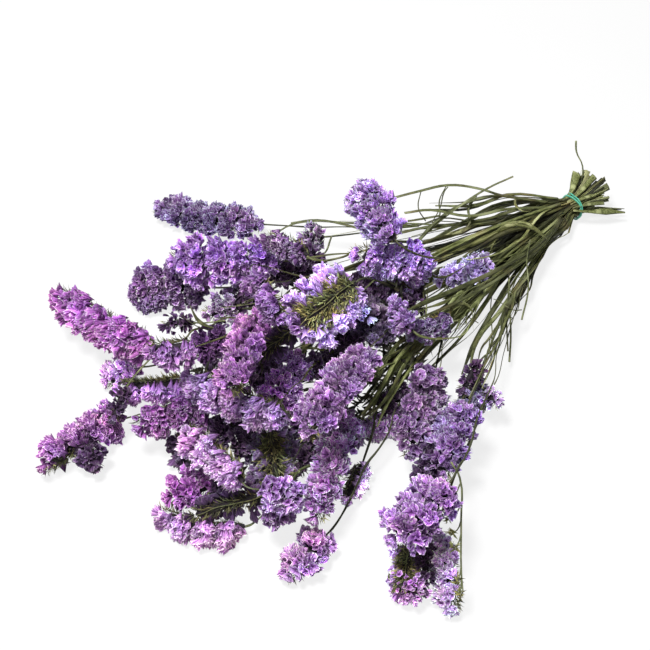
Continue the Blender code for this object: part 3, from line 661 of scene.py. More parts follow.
@functools.cache
def plan():
    """The spikes by the letters of their heads, and every run of stem, eased apart as the solids are."""
    spikes = {}
    for number, stem in enumerate(STEMS, 1):
        spikes.update((f"{number:02d}{head.letter}", Spike(head)) for head in stem.heads)
    ease_heads(list(spikes.values()), 400)
    strands = []
    for number, stem in enumerate(STEMS, 1):
        own = [spikes[f"{number:02d}{head.letter}"] for head in stem.heads]
        trunk = main_strand(number, stem, own[0])
        strands.append(trunk)
        strands.extend(branch_strand(number, trunk, spike) for spike in own[1:])
    bundle = Bundle(strands, list(spikes.values()))
    bundle.ease(260)
    bundle.hand_back()
    return spikes, strands


@functools.cache
def sprigs():
    """The small spikes between the heads, by name."""
    spikes = {}
    for number, (base, tip, width, face, shade_name) in enumerate(SPRIGS, 1):
        middle = tuple(0.5 * (a + b) for a, b in zip(base, tip))
        middle = (*middle[:2], middle[2] + 2.0)
        head = Head(f"sprig_{number:02d}", base, middle, tip, width, 0.85 * width, face, shade_name, False)
        spikes[head.letter] = Spike(head)
    return spikes


def holder_of(place):
    """The bead of a stem that a twig ending at the place grows from: near it, and nearer the band."""
    best = None
    for strand in plan()[1]:
        for bead in strand.points[IN_BAND:-1]:
            step = bead - place
            if step[0] < TWIG_LEAD:
                continue
            cost = np.linalg.norm(step) + 0.6 * abs(step[1]) + 0.6 * abs(step[2])
            if best is None or cost < best[0]:
                best = (cost, bead)
    return best[1]


def any_way(rng):
    """A step of up to one each way."""
    return np.array([rng.uniform(-1, 1) for _ in "xyz"])


# Sizes and colours that a user would change


def amount(name, description, default, **limits):
    return FloatProperty(name=name, description=description, default=default, **limits)


def whole(name, description, default, low, high):
    return IntProperty(name=name, description=description, default=default, min=low, max=high)


def shade(name, colour):
    return FloatVectorProperty(
        name=name, description=f"Colour of the {name.lower()}", subtype="COLOR", size=3, min=0.0, max=1.0,
        default=colour,
    )


def millimetres(name, description, default):
    limits = {"min": 0.1 * MM, "max": 60.0 * MM, "precision": 4}
    return amount(name, description, default * MM, unit="LENGTH", subtype="DISTANCE", **limits)


def strength(name, description, default, **settings):
    return amount(name, description, default, min=0.0, **settings)


class StaticeFlowers(bpy.types.PropertyGroup):
    calyx_length: millimetres("Calyx length", "Length of the longest calyx from its foot to its rim", 16.0)
    calyx_radius: millimetres("Calyx radius", "Radius of a full calyx at its rim", 4.6)
    calyx_spacing: millimetres("Calyx spacing", "Distance between neighbouring mouths", 4.9)
    lobe_length: millimetres("Lobe length", "Length of one lobe of a spike, a fan of calyxes of its own", 19.0)
    wrap: amount(
        "Wrap", "How far the calyxes reach round a spike, each way from its front", math.radians(118), min=0.5,
        max=math.pi, subtype="ANGLE",
    )
    see_through: amount(
        "See-through", "Share of light that passes through the papery limb", 0.06, min=0.0, max=1.0,
        subtype="FACTOR",
    )
    dusky: shade("Dusky shade", (0.310, 0.148, 0.378))
    mauve: shade("Mauve shade", (0.423, 0.206, 0.513))
    lilac: shade("Lilac shade", (0.560, 0.280, 0.657))
    lavender: shade("Lavender shade", (0.486, 0.290, 0.640))
    violet: shade("Violet shade", (0.480, 0.226, 0.624))
    magenta: shade("Magenta shade", (0.535, 0.202, 0.594))


class StaticeGreens(bpy.types.PropertyGroup):
    stem_width: amount("Stem width", "Width of a winged stem against a plain round one", 1.05, min=0.5, max=2)
    twist: amount("Twist", "Turns of a stem's wings over its whole length", 0.9, min=0, max=6)
    branch_width: amount("Branch width", "Width of a branch against a stem's", 0.62, min=0.3, max=1.5)
    companions: whole("Companions", "Thin blades that keep each stem company", 3, 0, 5)
    fillers: whole("Fillers", "Leafless ribbons low down between neighbouring stems", 3, 0, 4)
    bract_length: millimetres("Bract length", "Length of a full bract on the back of a spike", 8.2)
    bract_spacing: millimetres("Bract spacing", "Distance that sets how many tufts of bracts a spike has", 1.8)
    leaf_length: millimetres("Leaf length", "Length of the linear leaf at a fork", 24.0)
    olive: shade("Olive of the stems", (0.125, 0.142, 0.045))
    pale: shade("Pale edge of the wings", (0.345, 0.370, 0.190))
    straw: shade("Straw of the cut ends", (0.400, 0.390, 0.230))
    bract: shade("Bracts", (0.200, 0.205, 0.090))
    brown: shade("Dry tips of the bracts", (0.190, 0.130, 0.060))
    # The heart is the real middle of a spike, but its near-black colour is painted shade.
    shadow: shade("Heart of a spike", (0.018, 0.012, 0.018))


class StaticeTie(bpy.types.PropertyGroup):
    turns: whole("Turns", "Turns of the rubber band", 2, 1, 4)
    strand_width: millimetres("Strand width", "Width of the band's flat strand", 1.9)
    strand_thickness: millimetres("Strand thickness", "Thickness of the band's flat strand", 0.9)
    mint: shade("Band", (0.130, 0.560, 0.400))


class StaticeStage(bpy.types.PropertyGroup):
    floor: shade("Floor", (0.88, 0.88, 0.88))
    sky: strength("Sky", "Strength of the soft light from all round", 0.085)
    key: strength("Key light", "Power of the main soft light", 34.2, unit="POWER")
    fill: strength("Fill light", "Power of the softer second light", 4.6, unit="POWER")
    back: strength("Back light", "Power of the soft light behind", 4.0, unit="POWER")
    lens: amount("Lens", "Focal length of the camera", 62.0, min=10.0, unit="CAMERA")


# Materials

WHITE = (1.0, 1.0, 1.0, 1.0)


class Finish:
    """The nodes of a new material or world, added and joined by short calls."""

    def __init__(self, owner):
        self.owner = owner
        owner.use_nodes = True
        self.tree = owner.node_tree
        self.tree.nodes.clear()

    def feed(self, socket, value):
        """Joins a socket to another one, or gives it a value."""
        if isinstance(value, bpy.types.NodeSocket):
            self.tree.links.new(value, socket)
        else:
            socket.default_value = value

    def add(self, kind, inputs=None, **settings):
        node = self.tree.nodes.new("ShaderNode" + kind)
        for key, value in settings.items():
            setattr(node, key, value)
        for key, value in (inputs or {}).items():
            self.feed(node.inputs[key], value)
        return node

    def math(self, operation, *values):
        return self.add("Math", dict(enumerate(values)), operation=operation).outputs[0]

    def ramp(self, factor, stops):
        node = self.add("ValToRGB", {"Fac": factor})
        marks = node.color_ramp.elements
        while len(marks) < len(stops):
            marks.new(0.5)
        for mark, (place, colour) in zip(marks, sorted(stops, key=lambda stop: stop[0])):
            mark.position = place
            mark.color = (*colour, 1.0)
        return node.outputs["Color"]

    def mix(self, blend, factor, one, two):
        node = self.add("Mix", data_type="RGBA", blend_type=blend)
        for key, value in zip((0, 6, 7), (factor, one, two)):
            self.feed(node.inputs[key], (*value, 1.0) if isinstance(value, tuple) else value)
        return node.outputs[2]

    def tinted(self, colour):
        """The colour times the tint that each copy carries."""
        tint = self.add("Attribute", attribute_name="tint", attribute_type="GEOMETRY").outputs["Color"]
        return self.mix("MULTIPLY", 1.0, colour, tint)

    def noise(self, scale, detail):
        """Noise in the space of the piece."""
        where = self.add("TexCoord").outputs["Object"]
        return self.add("TexNoise", {"Vector": where, "Scale": scale, "Detail": detail}).outputs["Fac"]

    def surface(self):
        """The piece's own map: X is round it, and Y is along it."""
        return self.add("UVMap", uv_map="UVMap").outputs["UV"]

    def streaks(self, surface, stretch, detail, roughness):
        """Noise on the piece's own map, with its own scale round it and along it."""
        where = self.add("Mapping", {"Vector": surface, "Scale": (*stretch, 1.0)}).outputs["Vector"]
        inputs = {"Vector": where, "Scale": 1.0, "Detail": detail, "Roughness": roughness}
        return self.add("TexNoise", inputs).outputs["Fac"]

    def bump(self, height, depth, strength):
        return self.add("Bump", {"Height": height, "Distance": depth, "Strength": strength}).outputs["Normal"]

    def body(self, colour, roughness, normal):
        inputs = {"Base Color": colour, "Roughness": roughness, "Normal": normal}
        return self.add("BsdfPrincipled", inputs).outputs[0]

    def shared(self, share, one, two):
        """The first shader where the share is 0, and the second where it is 1."""
        return self.add("MixShader", {0: share, 1: one, 2: two}).outputs[0]

    def output(self, shader, kind="OutputMaterial"):
        self.add(kind, {"Surface": shader})
        return self.owner


def blended(one, two, share):
    """The first colour, taken a share of the way to the second."""
    return tuple(a + (b - a) * share for a, b in zip(one, two))


def scaled(colour, *factors):
    """The colour times one factor, or times one for each of its channels."""
    factors = factors * 3 if len(factors) == 1 else factors
    return tuple(min(1.0, a * b) for a, b in zip(colour, factors))


def calyx_finish(name, limb, see_through):
    """Papery calyx: a green foot and low funnel darkened as painted shade, a pale upper funnel, the limb's own
    colour, a light rim that is partly painted highlight, and painted shade deep inside the mouth.
    """
    made = Finish(bpy.data.materials.new(name))
    surface = made.surface()
    along = made.add("SeparateXYZ", {"Vector": surface}).outputs["Y"]
    # The light rim is partly the paler paper of the edge and partly painted highlight where the edge would catch the
    # light; a noise lays it on in patches.
    rim = blended(limb, (1.00, 0.92, 1.00), 0.74)
    # From the foot up the funnel the colour rises from near black to the limb's own. The green of the foot is real;
    # its depth of darkness is painted shade low between the calyxes.
    tube_with_foot_shade = (
        (0.00, (0.060, 0.050, 0.030)),
        (0.08, scaled(limb, 0.14, 0.11, 0.12)),
        (0.18, scaled(limb, 0.36, 0.28, 0.36)),
        (0.28, scaled(limb, 0.76, 0.72, 0.78)),
        (0.44, scaled(limb, 1.12)),
    )
    edge = ((0.462, scaled(limb, 1.10)), (0.480, rim), (0.520, rim), (0.538, scaled(limb, 1.08)))
    # Inside the mouth the colour falls to near black: painted shade in the recess.
    throat_shade = (
        (0.57, scaled(limb, 1.06)),
        (0.64, scaled(limb, 0.80, 0.68, 0.84)),
        (0.78, scaled(limb, 0.34, 0.21, 0.38)),
        (1.00, scaled(limb, 0.07, 0.04, 0.08)),
    )
    plain = made.ramp(along, (*tube_with_foot_shade, *throat_shade))
    edged_with_highlight = made.ramp(along, (*tube_with_foot_shade, *edge, *throat_shade))
    highlight_arcs = made.ramp(made.noise(260.0, 1.0), ((0.40, (0.35, 0.35, 0.35)), (0.55, (1.0, 1.0, 1.0))))
    colour = made.mix("MIX", highlight_arcs, plain, edged_with_highlight)
    drift = made.ramp(made.noise(30.0, 2.0), ((0.36, (1.05, 0.96, 1.00)), (0.64, (0.93, 1.00, 1.04))))
    colour = made.mix("MULTIPLY", 0.8, colour, drift)
    folds = made.streaks(surface, (16.0, 1.6), 2.0, 0.5)
    # Dark valleys and light ridges along the folds: partly veins, partly painted shade in the creases and painted
    # highlight on the ridges.
    vein_and_fold_shade = made.ramp(folds, ((0.38, (0.28, 0.18, 0.35)), (0.49, (1.0, 1.0, 1.0)), (0.60, (1.36, 1.36, 1.30))))
    colour = made.mix("MULTIPLY", 0.9, colour, vein_and_fold_shade)
    grain = made.ramp(made.noise(420.0, 3.0), ((0.36, (0.86, 0.84, 0.87)), (0.62, (1.06, 1.06, 1.06))))
    colour = made.tinted(made.mix("MULTIPLY", 0.8, colour, grain))
    normal = made.bump(folds, 0.0008, 0.7)
    paper = made.body(colour, 0.80, normal)
    light = made.add("BsdfTranslucent", {"Color": colour, "Normal": normal}).outputs[0]
    return made.output(made.shared(see_through, paper, light))


def green_finish(name, colour, tip, pale):
    """Dried leafy parts: olive with brown drifts, their own tint, and a dry tip where the map runs out."""
    made = Finish(bpy.data.materials.new(name))
    along = made.add("SeparateXYZ", {"Vector": made.surface()}).outputs["Y"]
    base = made.ramp(along, ((0.0, scaled(colour, 0.8)), (0.55, colour), (0.82, pale), (0.97, tip)))
    drift = made.ramp(made.noise(60.0, 3.0), ((0.35, (1.15, 0.95, 0.75)), (0.60, (0.90, 1.05, 1.0))))
    base = made.tinted(made.mix("MULTIPLY", 0.8, base, drift))
    return made.output(made.body(base, 0.78, made.bump(made.noise(900.0, 2.0), 0.0003, 0.5)))


def stem_finish(name, colour, pale, brown):
    """Flat winged stem: fine streaks along it, their grooves darkened as painted shade and their ridges lightened as
    painted highlight, wing edges paler partly as painted highlight, dry brown stretches.
    """
    made = Finish(bpy.data.materials.new(name))
    surface = made.surface()
    turn = made.math("MULTIPLY", made.add("SeparateXYZ", {"Vector": surface}).outputs["X"], 4.0 * math.pi)
    wings = made.ramp(made.math("COSINE", turn), ((0.55, (0.0, 0.0, 0.0)), (0.97, (0.75, 0.75, 0.75))))
    streak = made.streaks(surface, (26.0, 9.0), 4.0, 0.7)
    # The grooves fall to near black as painted shade and the ridges rise to a pale colour as painted highlight; the
    # paler wing edges are partly the margins' own colour, partly painted highlight.
    light = blended(colour, pale, 0.75)
    base = made.ramp(streak, ((0.34, scaled(colour, 0.18)), (0.50, colour), (0.68, light)))
    base = made.mix("MIX", wings, base, pale)
    patches = made.ramp(made.noise(34.0, 4.0), ((0.54, (0.0, 0.0, 0.0)), (0.72, (0.6, 0.6, 0.6))))
    base = made.tinted(made.mix("MIX", patches, base, brown))
    return made.output(made.body(base, 0.62, made.bump(streak, 0.0004, 0.6)))


def plain_finish(name, colour, roughness, grain, depth, spread):
    """One colour with a fine grain in its tone and its relief."""
    made = Finish(bpy.data.materials.new(name))
    tone = made.noise(grain, 4.0)
    base = made.ramp(tone, ((0.35, scaled(colour, 1.0 - spread)), (0.65, scaled(colour, 1.0 + spread))))
    return made.output(made.body(base, roughness, made.bump(tone, depth, 0.6)))


# Making shapes


def frame_of(forward, side):
    """A turn whose Z runs forward and whose X leans to one side."""
    z = Vector(forward).normalized()
    x = Vector(side) - z * Vector(side).dot(z)
    x = x.normalized() if x.length > 1e-6 else z.orthogonal().normalized()
    return Matrix((x, z.cross(x), z)).transposed()


def verts_in(made):
    return [part for part in made if isinstance(part, bmesh.types.BMVert)]


def open_rim(shape):
    return [edge for edge in shape.edges if edge.is_boundary]


def pulled(shape, rim, matrix):
    """Extrudes an open rim of edges and moves the new one; gives its edges and its points."""
    made = bmesh.ops.extrude_edge_only(shape, edges=rim)["geom"]
    verts = verts_in(made)
    bmesh.ops.transform(shape, matrix=matrix, verts=verts)
    return [part for part in made if isinstance(part, bmesh.types.BMEdge) and part.is_boundary], verts


def drawn_to(shape, rim, place):
    """Closes an open rim with faces that meet at a place; gives the point there."""
    made = bmesh.ops.extrude_edge_only(shape, edges=rim)["geom"]
    bmesh.ops.pointmerge(shape, verts=verts_in(made), merge_co=place)
    return [vert for vert in shape.verts if (vert.co - Vector(place)).length < 1e-4]


# The lowest that a copied shape, a run and a spike's heart reach, and what is left of a depth below that.
LOWEST_COPY, LOWEST_RUN, LOWEST_HEART = 0.35, 0.30, 0.40
PRESSED = 0.04


def lifted(height, lowest):
    """The height, pressed almost flat below the lowest one, so that nothing goes through the surface."""
    return np.maximum(height, lowest + PRESSED * (height - lowest))


class Pattern:
    """A small shape that is copied many times, each copy with its own place and tint."""

    def __init__(self, shape):
        self.mesh = bpy.data.meshes.new("pattern")
        bmesh.ops.recalc_face_normals(shape, faces=shape.faces[:])
        shape.to_mesh(self.mesh)
        shape.free()
        self.tint = self.mesh.attributes.new("tint", "FLOAT_COLOR", "POINT")
        self.rest = np.empty(3 * len(self.mesh.vertices))
        self.mesh.vertices.foreach_get("co", self.rest)
        self.rest = self.rest.reshape(-1, 3)

    def copy_into(self, shape, matrix, tint):
        points = self.rest @ np.array(matrix.to_3x3()).T + np.array(matrix.translation)
        points[:, 2] = lifted(points[:, 2], LOWEST_COPY)
        self.mesh.vertices.foreach_set("co", points.ravel())
        self.tint.data.foreach_set("color", np.tile((*tint, 1.0), len(points)))
        shape.from_mesh(self.mesh)


def map_rings(shape, rings):
    """Lays the map: round the ring is U, and the share of the way through the rings is V."""
    layer = shape.loops.layers.uv.new("UVMap")
    level = {vert: share for share, ring in rings for vert in ring}
    for face in shape.faces:
        turns = [math.atan2(loop.vert.co.y, loop.vert.co.x) / (2 * math.pi) % 1.0 for loop in face.loops]
        poles = [math.hypot(loop.vert.co.x, loop.vert.co.y) < 1e-5 for loop in face.loops]
        known = [turn for turn, pole in zip(turns, poles) if not pole]
        wraps = max(known) - min(known) > 0.5
        known = [turn + 1.0 if wraps and turn < 0.5 else turn for turn in known]
        middle = sum(known) / len(known)
        for loop, turn, pole in zip(face.loops, turns, poles):
            turn = middle if pole else turn + 1.0 if wraps and turn < 0.5 else turn
            loop[layer].uv = (turn, level[loop.vert])


# A ring of a calyx: its height and radius, its share of the way along the map, and its share of the crumple.
Ring = namedtuple("Ring", "height radius share full")
CALYX_PLEATS = 10
FOOT_SHARE = 0.05
TUFT_DEPTH = 0.80
BRACT_SIDES = 4


def pointed_foot(shape, points, radius, height):
    """A ring of points at a height, closed down to one point at the origin: that point, and the ring."""
    made = bmesh.ops.create_circle(
        shape, cap_ends=True, cap_tris=True, radius=radius, segments=points,
        matrix=Matrix.Translation((0, 0, height)),
    )["verts"]
    foot = [vert for vert in made if vert.co.xy.length < 1e-6]
    foot[0].co = (0, 0, 0)
    return foot, [vert for vert in made if vert is not foot[0]]


def cone(shape, points, profile, deep):
    """A closed thin funnel: a pointed foot, the profile's rings, and a pole inside the mouth."""
    foot, made = pointed_foot(shape, points, profile[0].radius, profile[0].height)
    rings = [(FOOT_SHARE, 0.0, foot), (profile[0].share, profile[0].full, made)]
    rim = open_rim(shape)
    for last, ring in zip(profile, profile[1:]):
        grow = Matrix.Diagonal((ring.radius / last.radius, ring.radius / last.radius, 1.0, 1.0))
        rim, made = pulled(shape, rim, Matrix.Translation((0, 0, ring.height - last.height)) @ grow)
        rings.append((ring.share, ring.full, made))
    rings.append((1.0, 0.0, drawn_to(shape, rim, (0, 0, deep))))
    return rings


def ruffle(rng, rings, squash, depth):
    """Pleats the rings by turns in and out, waves them up and down, and crumples each by its own share."""
    crumple = [any_way(rng) for _ in range(CALYX_PLEATS)]
    oval, wave = rng.uniform(0, 2 * math.pi), rng.uniform(0, 2 * math.pi)
    for _, full, verts in rings:
        for vert in verts:
            round_at = math.atan2(vert.co.y, vert.co.x)
            k = round(round_at / (2 * math.pi) * CALYX_PLEATS) % CALYX_PLEATS
            out, up, sideways = crumple[k]
            out += full * rng.uniform(-0.7, 0.7)
            fold = 1 if k % 2 else -1
            size = 1 + full * (0.12 * fold + 0.14 * out + 0.15 * math.sin(2 * round_at + oval))
            x, y = vert.co.x * size, vert.co.y * size * (1 + full * (squash - 1))
            turn = 0.18 * full * sideways
            vert.co.x = x * math.cos(turn) - y * math.sin(turn)
            vert.co.y = x * math.sin(turn) + y * math.cos(turn)
            vert.co.z += full * depth * (1.2 * math.sin(3 * round_at + wave) + 0.7 * up + 0.6 * fold)


def calyx_pattern(rng, openness, squash, tufted):
    """One calyx on its foot along +Z, one long and one in radius: a pleated funnel, some ruffled inside."""
    funnel = [
        Ring(0.72, 0.25 + 0.42 * openness, 0.36, 0.7),
        Ring(1.00, openness, 0.50, 1.0),
        Ring(0.84, 0.10 + 0.50 * openness, 0.62, 0.9),
    ]
    deep = rng.uniform(0.58, 0.74)
    if tufted:
        funnel.append(Ring(rng.uniform(0.98, 1.08), rng.uniform(0.26, 0.42), 0.505, 1.0))
        deep = TUFT_DEPTH
    shape = bmesh.new()
    rings = cone(shape, CALYX_PLEATS, funnel, deep)
    map_rings(shape, [(share, verts) for share, _, verts in rings])
    ruffle(rng, rings, squash, 0.085)
    return Pattern(shape)


def bract_pattern(rng, length):
    """One bract on its foot along +Z: a narrow keeled scale, widest low down and drawn out to a point."""
    shape = bmesh.new()
    width = length * rng.uniform(0.050, 0.070)
    foot, ring = pointed_foot(shape, BRACT_SIDES, width, 0.30 * length)
    flat = Matrix.Translation((0, length * rng.uniform(0.02, 0.09), 0)) @ Matrix.Diagonal((1.0, 0.5, 1.0, 1.0))
    bmesh.ops.transform(shape, matrix=flat, verts=ring)
    rings = [(0.0, foot), (0.35, ring)]
    lean = Matrix.Translation((0, length * rng.uniform(0.04, 0.11), 0.34 * length))
    rim, ring = pulled(shape, open_rim(shape), lean @ Matrix.Diagonal((0.70, 0.70, 1.0, 1.0)))
    rings.append((0.70, ring))
    rings.append((1.0, drawn_to(shape, rim, (0, length * rng.uniform(0.12, 0.38), length))))
    map_rings(shape, rings)
    return Pattern(shape)


def new_shape():
    """An empty bmesh with the layers that every piece has."""
    shape = bmesh.new()
    shape.loops.layers.uv.new("UVMap")
    shape.verts.layers.float_color.new("tint")
    return shape


def finish_piece(name, shape, finishes, nodes=()):
    """Moves a finished shape into the frame as one piece that rides on the bunch."""
    bmesh.ops.transform(shape, matrix=INTO_FRAME, verts=shape.verts[:])
    mesh = bpy.data.meshes.new(name)
    shape.to_mesh(mesh)
    shape.free()
    for finish in finishes:
        mesh.materials.append(finish)
    piece = bpy.data.objects.new(name, mesh)
    bpy.context.scene.collection.objects.link(piece)
    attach(piece, "root")
    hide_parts(*nodes)


def profile_curve(name, corners):
    """A closed flat outline for curves to be bevelled with."""
    outline = bpy.data.curves.new(name, "CURVE")
    outline.dimensions = "2D"
    spline = outline.splines.new("POLY")
    spline.points.add(len(corners) - 1)
    for point, (x, y) in zip(spline.points, corners):
        point.co = (x, y, 0.0, 1.0)
    spline.use_cyclic_u = True
    return bpy.data.objects.new(name, outline)


def six_sided(flatness):
    return [(math.cos(turn), flatness * math.sin(turn)) for turn in np.arange(6) * math.pi / 3]


def faded(tint, count, fade):
    """The tint of each point along a run, from its start to the share of it that is left at its end."""
    share = np.arange(count) / count
    full = 1.15 if fade < 1 else 1.0
    return np.array((*tint, 1.0)) * (full + (fade - full) * share**1.5)[:, None]


def run_along(shape, points, radii, turns, profile, tint, steps=4, cyclic=False, fade=1.0):
    """Adds a closed run of the profile along a smooth curve through the points."""
    curve = bpy.data.curves.new("run", "CURVE")
    curve.dimensions = "3D"
    curve.resolution_u = steps
    curve.twist_mode = "Z_UP"
    curve.bevel_mode = "OBJECT"
    curve.bevel_object = profile
    curve.use_fill_caps = not cyclic
    spline = curve.splines.new("BEZIER")
    spline.bezier_points.add(len(points) - 1)
    for knot, point, radius, turn in zip(spline.bezier_points, points, radii, turns):
        knot.co = point
        knot.handle_left_type = knot.handle_right_type = "AUTO"
        knot.radius = radius
        knot.tilt = turn
    spline.use_cyclic_u = cyclic
    path = bpy.data.objects.new("run", curve)
    bpy.context.scene.collection.objects.link(path)
    bpy.context.view_layer.update()
    mesh = bpy.data.meshes.new_from_object(path.evaluated_get(bpy.context.evaluated_depsgraph_get()))
    tints = mesh.attributes.new("tint", "FLOAT_COLOR", "POINT")
    tints.data.foreach_set("color", faded(tint, len(mesh.vertices), fade).ravel())
    own = bmesh.new()
    own.from_mesh(mesh)
    bmesh.ops.remove_doubles(own, verts=own.verts[:], dist=1e-4)
    bmesh.ops.recalc_face_normals(own, faces=own.faces[:])
    for face in own.faces:
        face.smooth = True
    for vert in own.verts:
        vert.co.z = lifted(vert.co.z, LOWEST_RUN)
    own.to_mesh(mesh)
    own.free()
    shape.from_mesh(mesh)
    bpy.data.objects.remove(path, do_unlink=True)
    bpy.data.curves.remove(curve)
    bpy.data.meshes.remove(mesh)


def add_twig(shape, points, radii, profile, tone, steps=4):
    """Adds an untwisted run with one even grey tint."""
    run_along(shape, points, radii, [0.0] * len(points), profile, (tone, tone, tone), steps=steps)


# Flower heads

# A head's lightness, warmth and paleness, and how far its calyxes point one way, as the teeth of a comb. The
# lightness is partly the head's own colour and partly painted light and shade, set for how lit or shaded each head
# is.
Tone = namedtuple("Tone", "light warm pale comb")
TONES = {
    "01a": (1.06, 0.94, 1.10, 0.3), "01b": (1.14, 1.03, 1.48, 0.3), "02a": (1.14, 0.98, 0.99, 0.2),
    "02b": (0.88, 0.99, 1.06, 0.9), "03a": (0.91, 0.98, 1.00, 0.2), "03b": (1.19, 1.02, 1.37, 0.8),
    "04a": (1.03, 1.03, 0.90, 0.2), "04b": (0.91, 1.00, 0.91, 0.7), "05a": (1.62, 1.05, 1.22, 0.3),
    "05b": (1.50, 0.96, 0.94, 0.6), "05c": (0.52, 0.95, 0.66, 0.3), "06a": (1.38, 1.03, 0.87, 0.3),
    "06b": (0.80, 1.00, 0.98, 0.3), "07a": (0.97, 0.98, 1.04, 0.6), "07b": (0.27, 1.00, 0.95, 0.4),
    "08a": (1.28, 1.04, 1.12, 0.45), "08b": (1.02, 1.01, 0.95, 0.3), "08c": (1.33, 1.04, 1.12, 0.5),
    "09a": (0.50, 1.00, 1.20, -0.4), "09b": (2.00, 0.97, 0.99, 0.3), "10a": (0.97, 1.07, 0.91, 0.4),
    "10b": (0.87, 0.95, 0.91, 0.6), "11a": (1.68, 1.03, 1.04, -0.4), "11b": (0.42, 1.02, 1.13, 0.3),
    "12a": (1.20, 0.97, 1.22, 0.4), "12b": (1.42, 0.96, 1.14, 0.4), "13a": (1.00, 1.00, 1.01, 0.4),
    "13b": (1.38, 1.00, 1.33, 0.3), "14a": (1.00, 0.98, 1.30, 0.3), "14b": (2.20, 1.03, 1.44, 0.3),
    "14c": (1.23, 1.03, 1.16, 0.3), "15a": (0.69, 0.99, 1.10, 0.3), "15b": (1.17, 0.94, 1.08, 0.4),
    "15c": (0.86, 0.95, 1.14, 0.3), "15d": (1.32, 0.96, 1.28, 0.3), "16a": (1.00, 0.95, 1.10, 0.3),
    "16b": (1.10, 1.02, 1.09, 0.3), "16c": (2.25, 1.01, 1.16, -0.1), "17a": (0.74, 0.96, 1.22, 0.3),
    "17b": (1.44, 1.00, 1.40, 0.3), "17c": (1.45, 1.02, 1.40, 0.3),
    "sprig_19": (1.15, 0.97, 1.12, 0.3), "sprig_20": (0.85, 0.97, 1.10, 0.3),
    "sprig_21": (1.25, 1.03, 1.15, 0.5), "sprig_28": (1.60, 0.92, 1.40, 0.3),
}
# The sprigs' tone: dark, partly painted shade low down between the heads.
SPRIG_TONE = (0.34, 0.99, 0.95, 0.3)
# How light the bracts of a spike's back are, and how much of the usual way round its calyxes reach.
Back = namedtuple("Back", "light wrap")
BACKS = {
    "04a": Back(0.5, 1.1), "04b": Back(0.7, 0.85), "05b": Back(0.6, 0.72), "07a": Back(0.6, 0.8),
    "07b": Back(0.35, 1.0), "08c": Back(0.45, 1.0), "09a": Back(0.62, 1.0), "11a": Back(1.3, 1.0),
    "12a": Back(1.1, 1.0), "16c": Back(1.0, 1.0), "17c": Back(0.6, 1.0),
}
HEAD_BACK, SPRIG_BACK = Back(0.80, 1.0), Back(0.45, 1.0)
# The size of a head's calyxes' spread where it is less than its solid's.
TRIMS = {"17c": 0.80, "16c": 0.92}

# Past this share of one way the calyxes stand closer and are narrower.
COMBED = 0.35
# The distance between rows against the spacing, the parts of a lobe from its middle where its calyxes are full
# and then thin out, and the shortest calyx that is still made.
ROW_SHARE = 0.86
LOBE_CORE, LOBE_EDGE = 0.55, 0.45
SHORTEST_CALYX = 5.0
# The last calyxes, on the tip of the spike.
TIP_CALYXES = 5
TIP_LENGTH = 9.0
# A mouth lower than this turns up, with its foot no lower than the next.
LOW_MOUTH, LOW_FOOT = 3.0, 2.0
# A head this broad and deep has full-sized calyxes.
FULL_HEAD = 22.0


def is_head(name):
    """Whether a spike is one of the heads, which are named by number; the rest are sprigs."""
    return name[0].isdigit()


def solids_of(name):
    """The solid that a spike dresses, if it has one."""
    return [f"head_{name}"] if is_head(name) else []


def tone_of(name):
    return Tone(*TONES.get(name, SPRIG_TONE))


def back_of(name):
    return BACKS.get(name, HEAD_BACK if is_head(name) else SPRIG_BACK)


def full_section(spike, t):
    """The section of the whole head at t, as its calyxes reach it."""
    centre, across, front, half_width, half_depth = spike.section(t)
    return centre, across, front, half_width / HEAD_FILL, half_depth / HEAD_FILL


def length_of(spike):
    points = [spike.point(t)[0] for t in np.linspace(0, 1, 9)]
    return sum(np.linalg.norm(b - a) for a, b in zip(points, points[1:]))


def lean_at(t, off_lobe):
    """How far calyxes lean along the spike: back at its foot, forward at its tip, and apart in each lobe."""
    tip, foot = max(0.0, (t - 0.72) / 0.28), max(0.0, (0.12 - t) / 0.12)
    return 0.10 + 1.5 * tip**1.5 - 0.6 * foot + 0.45 * off_lobe


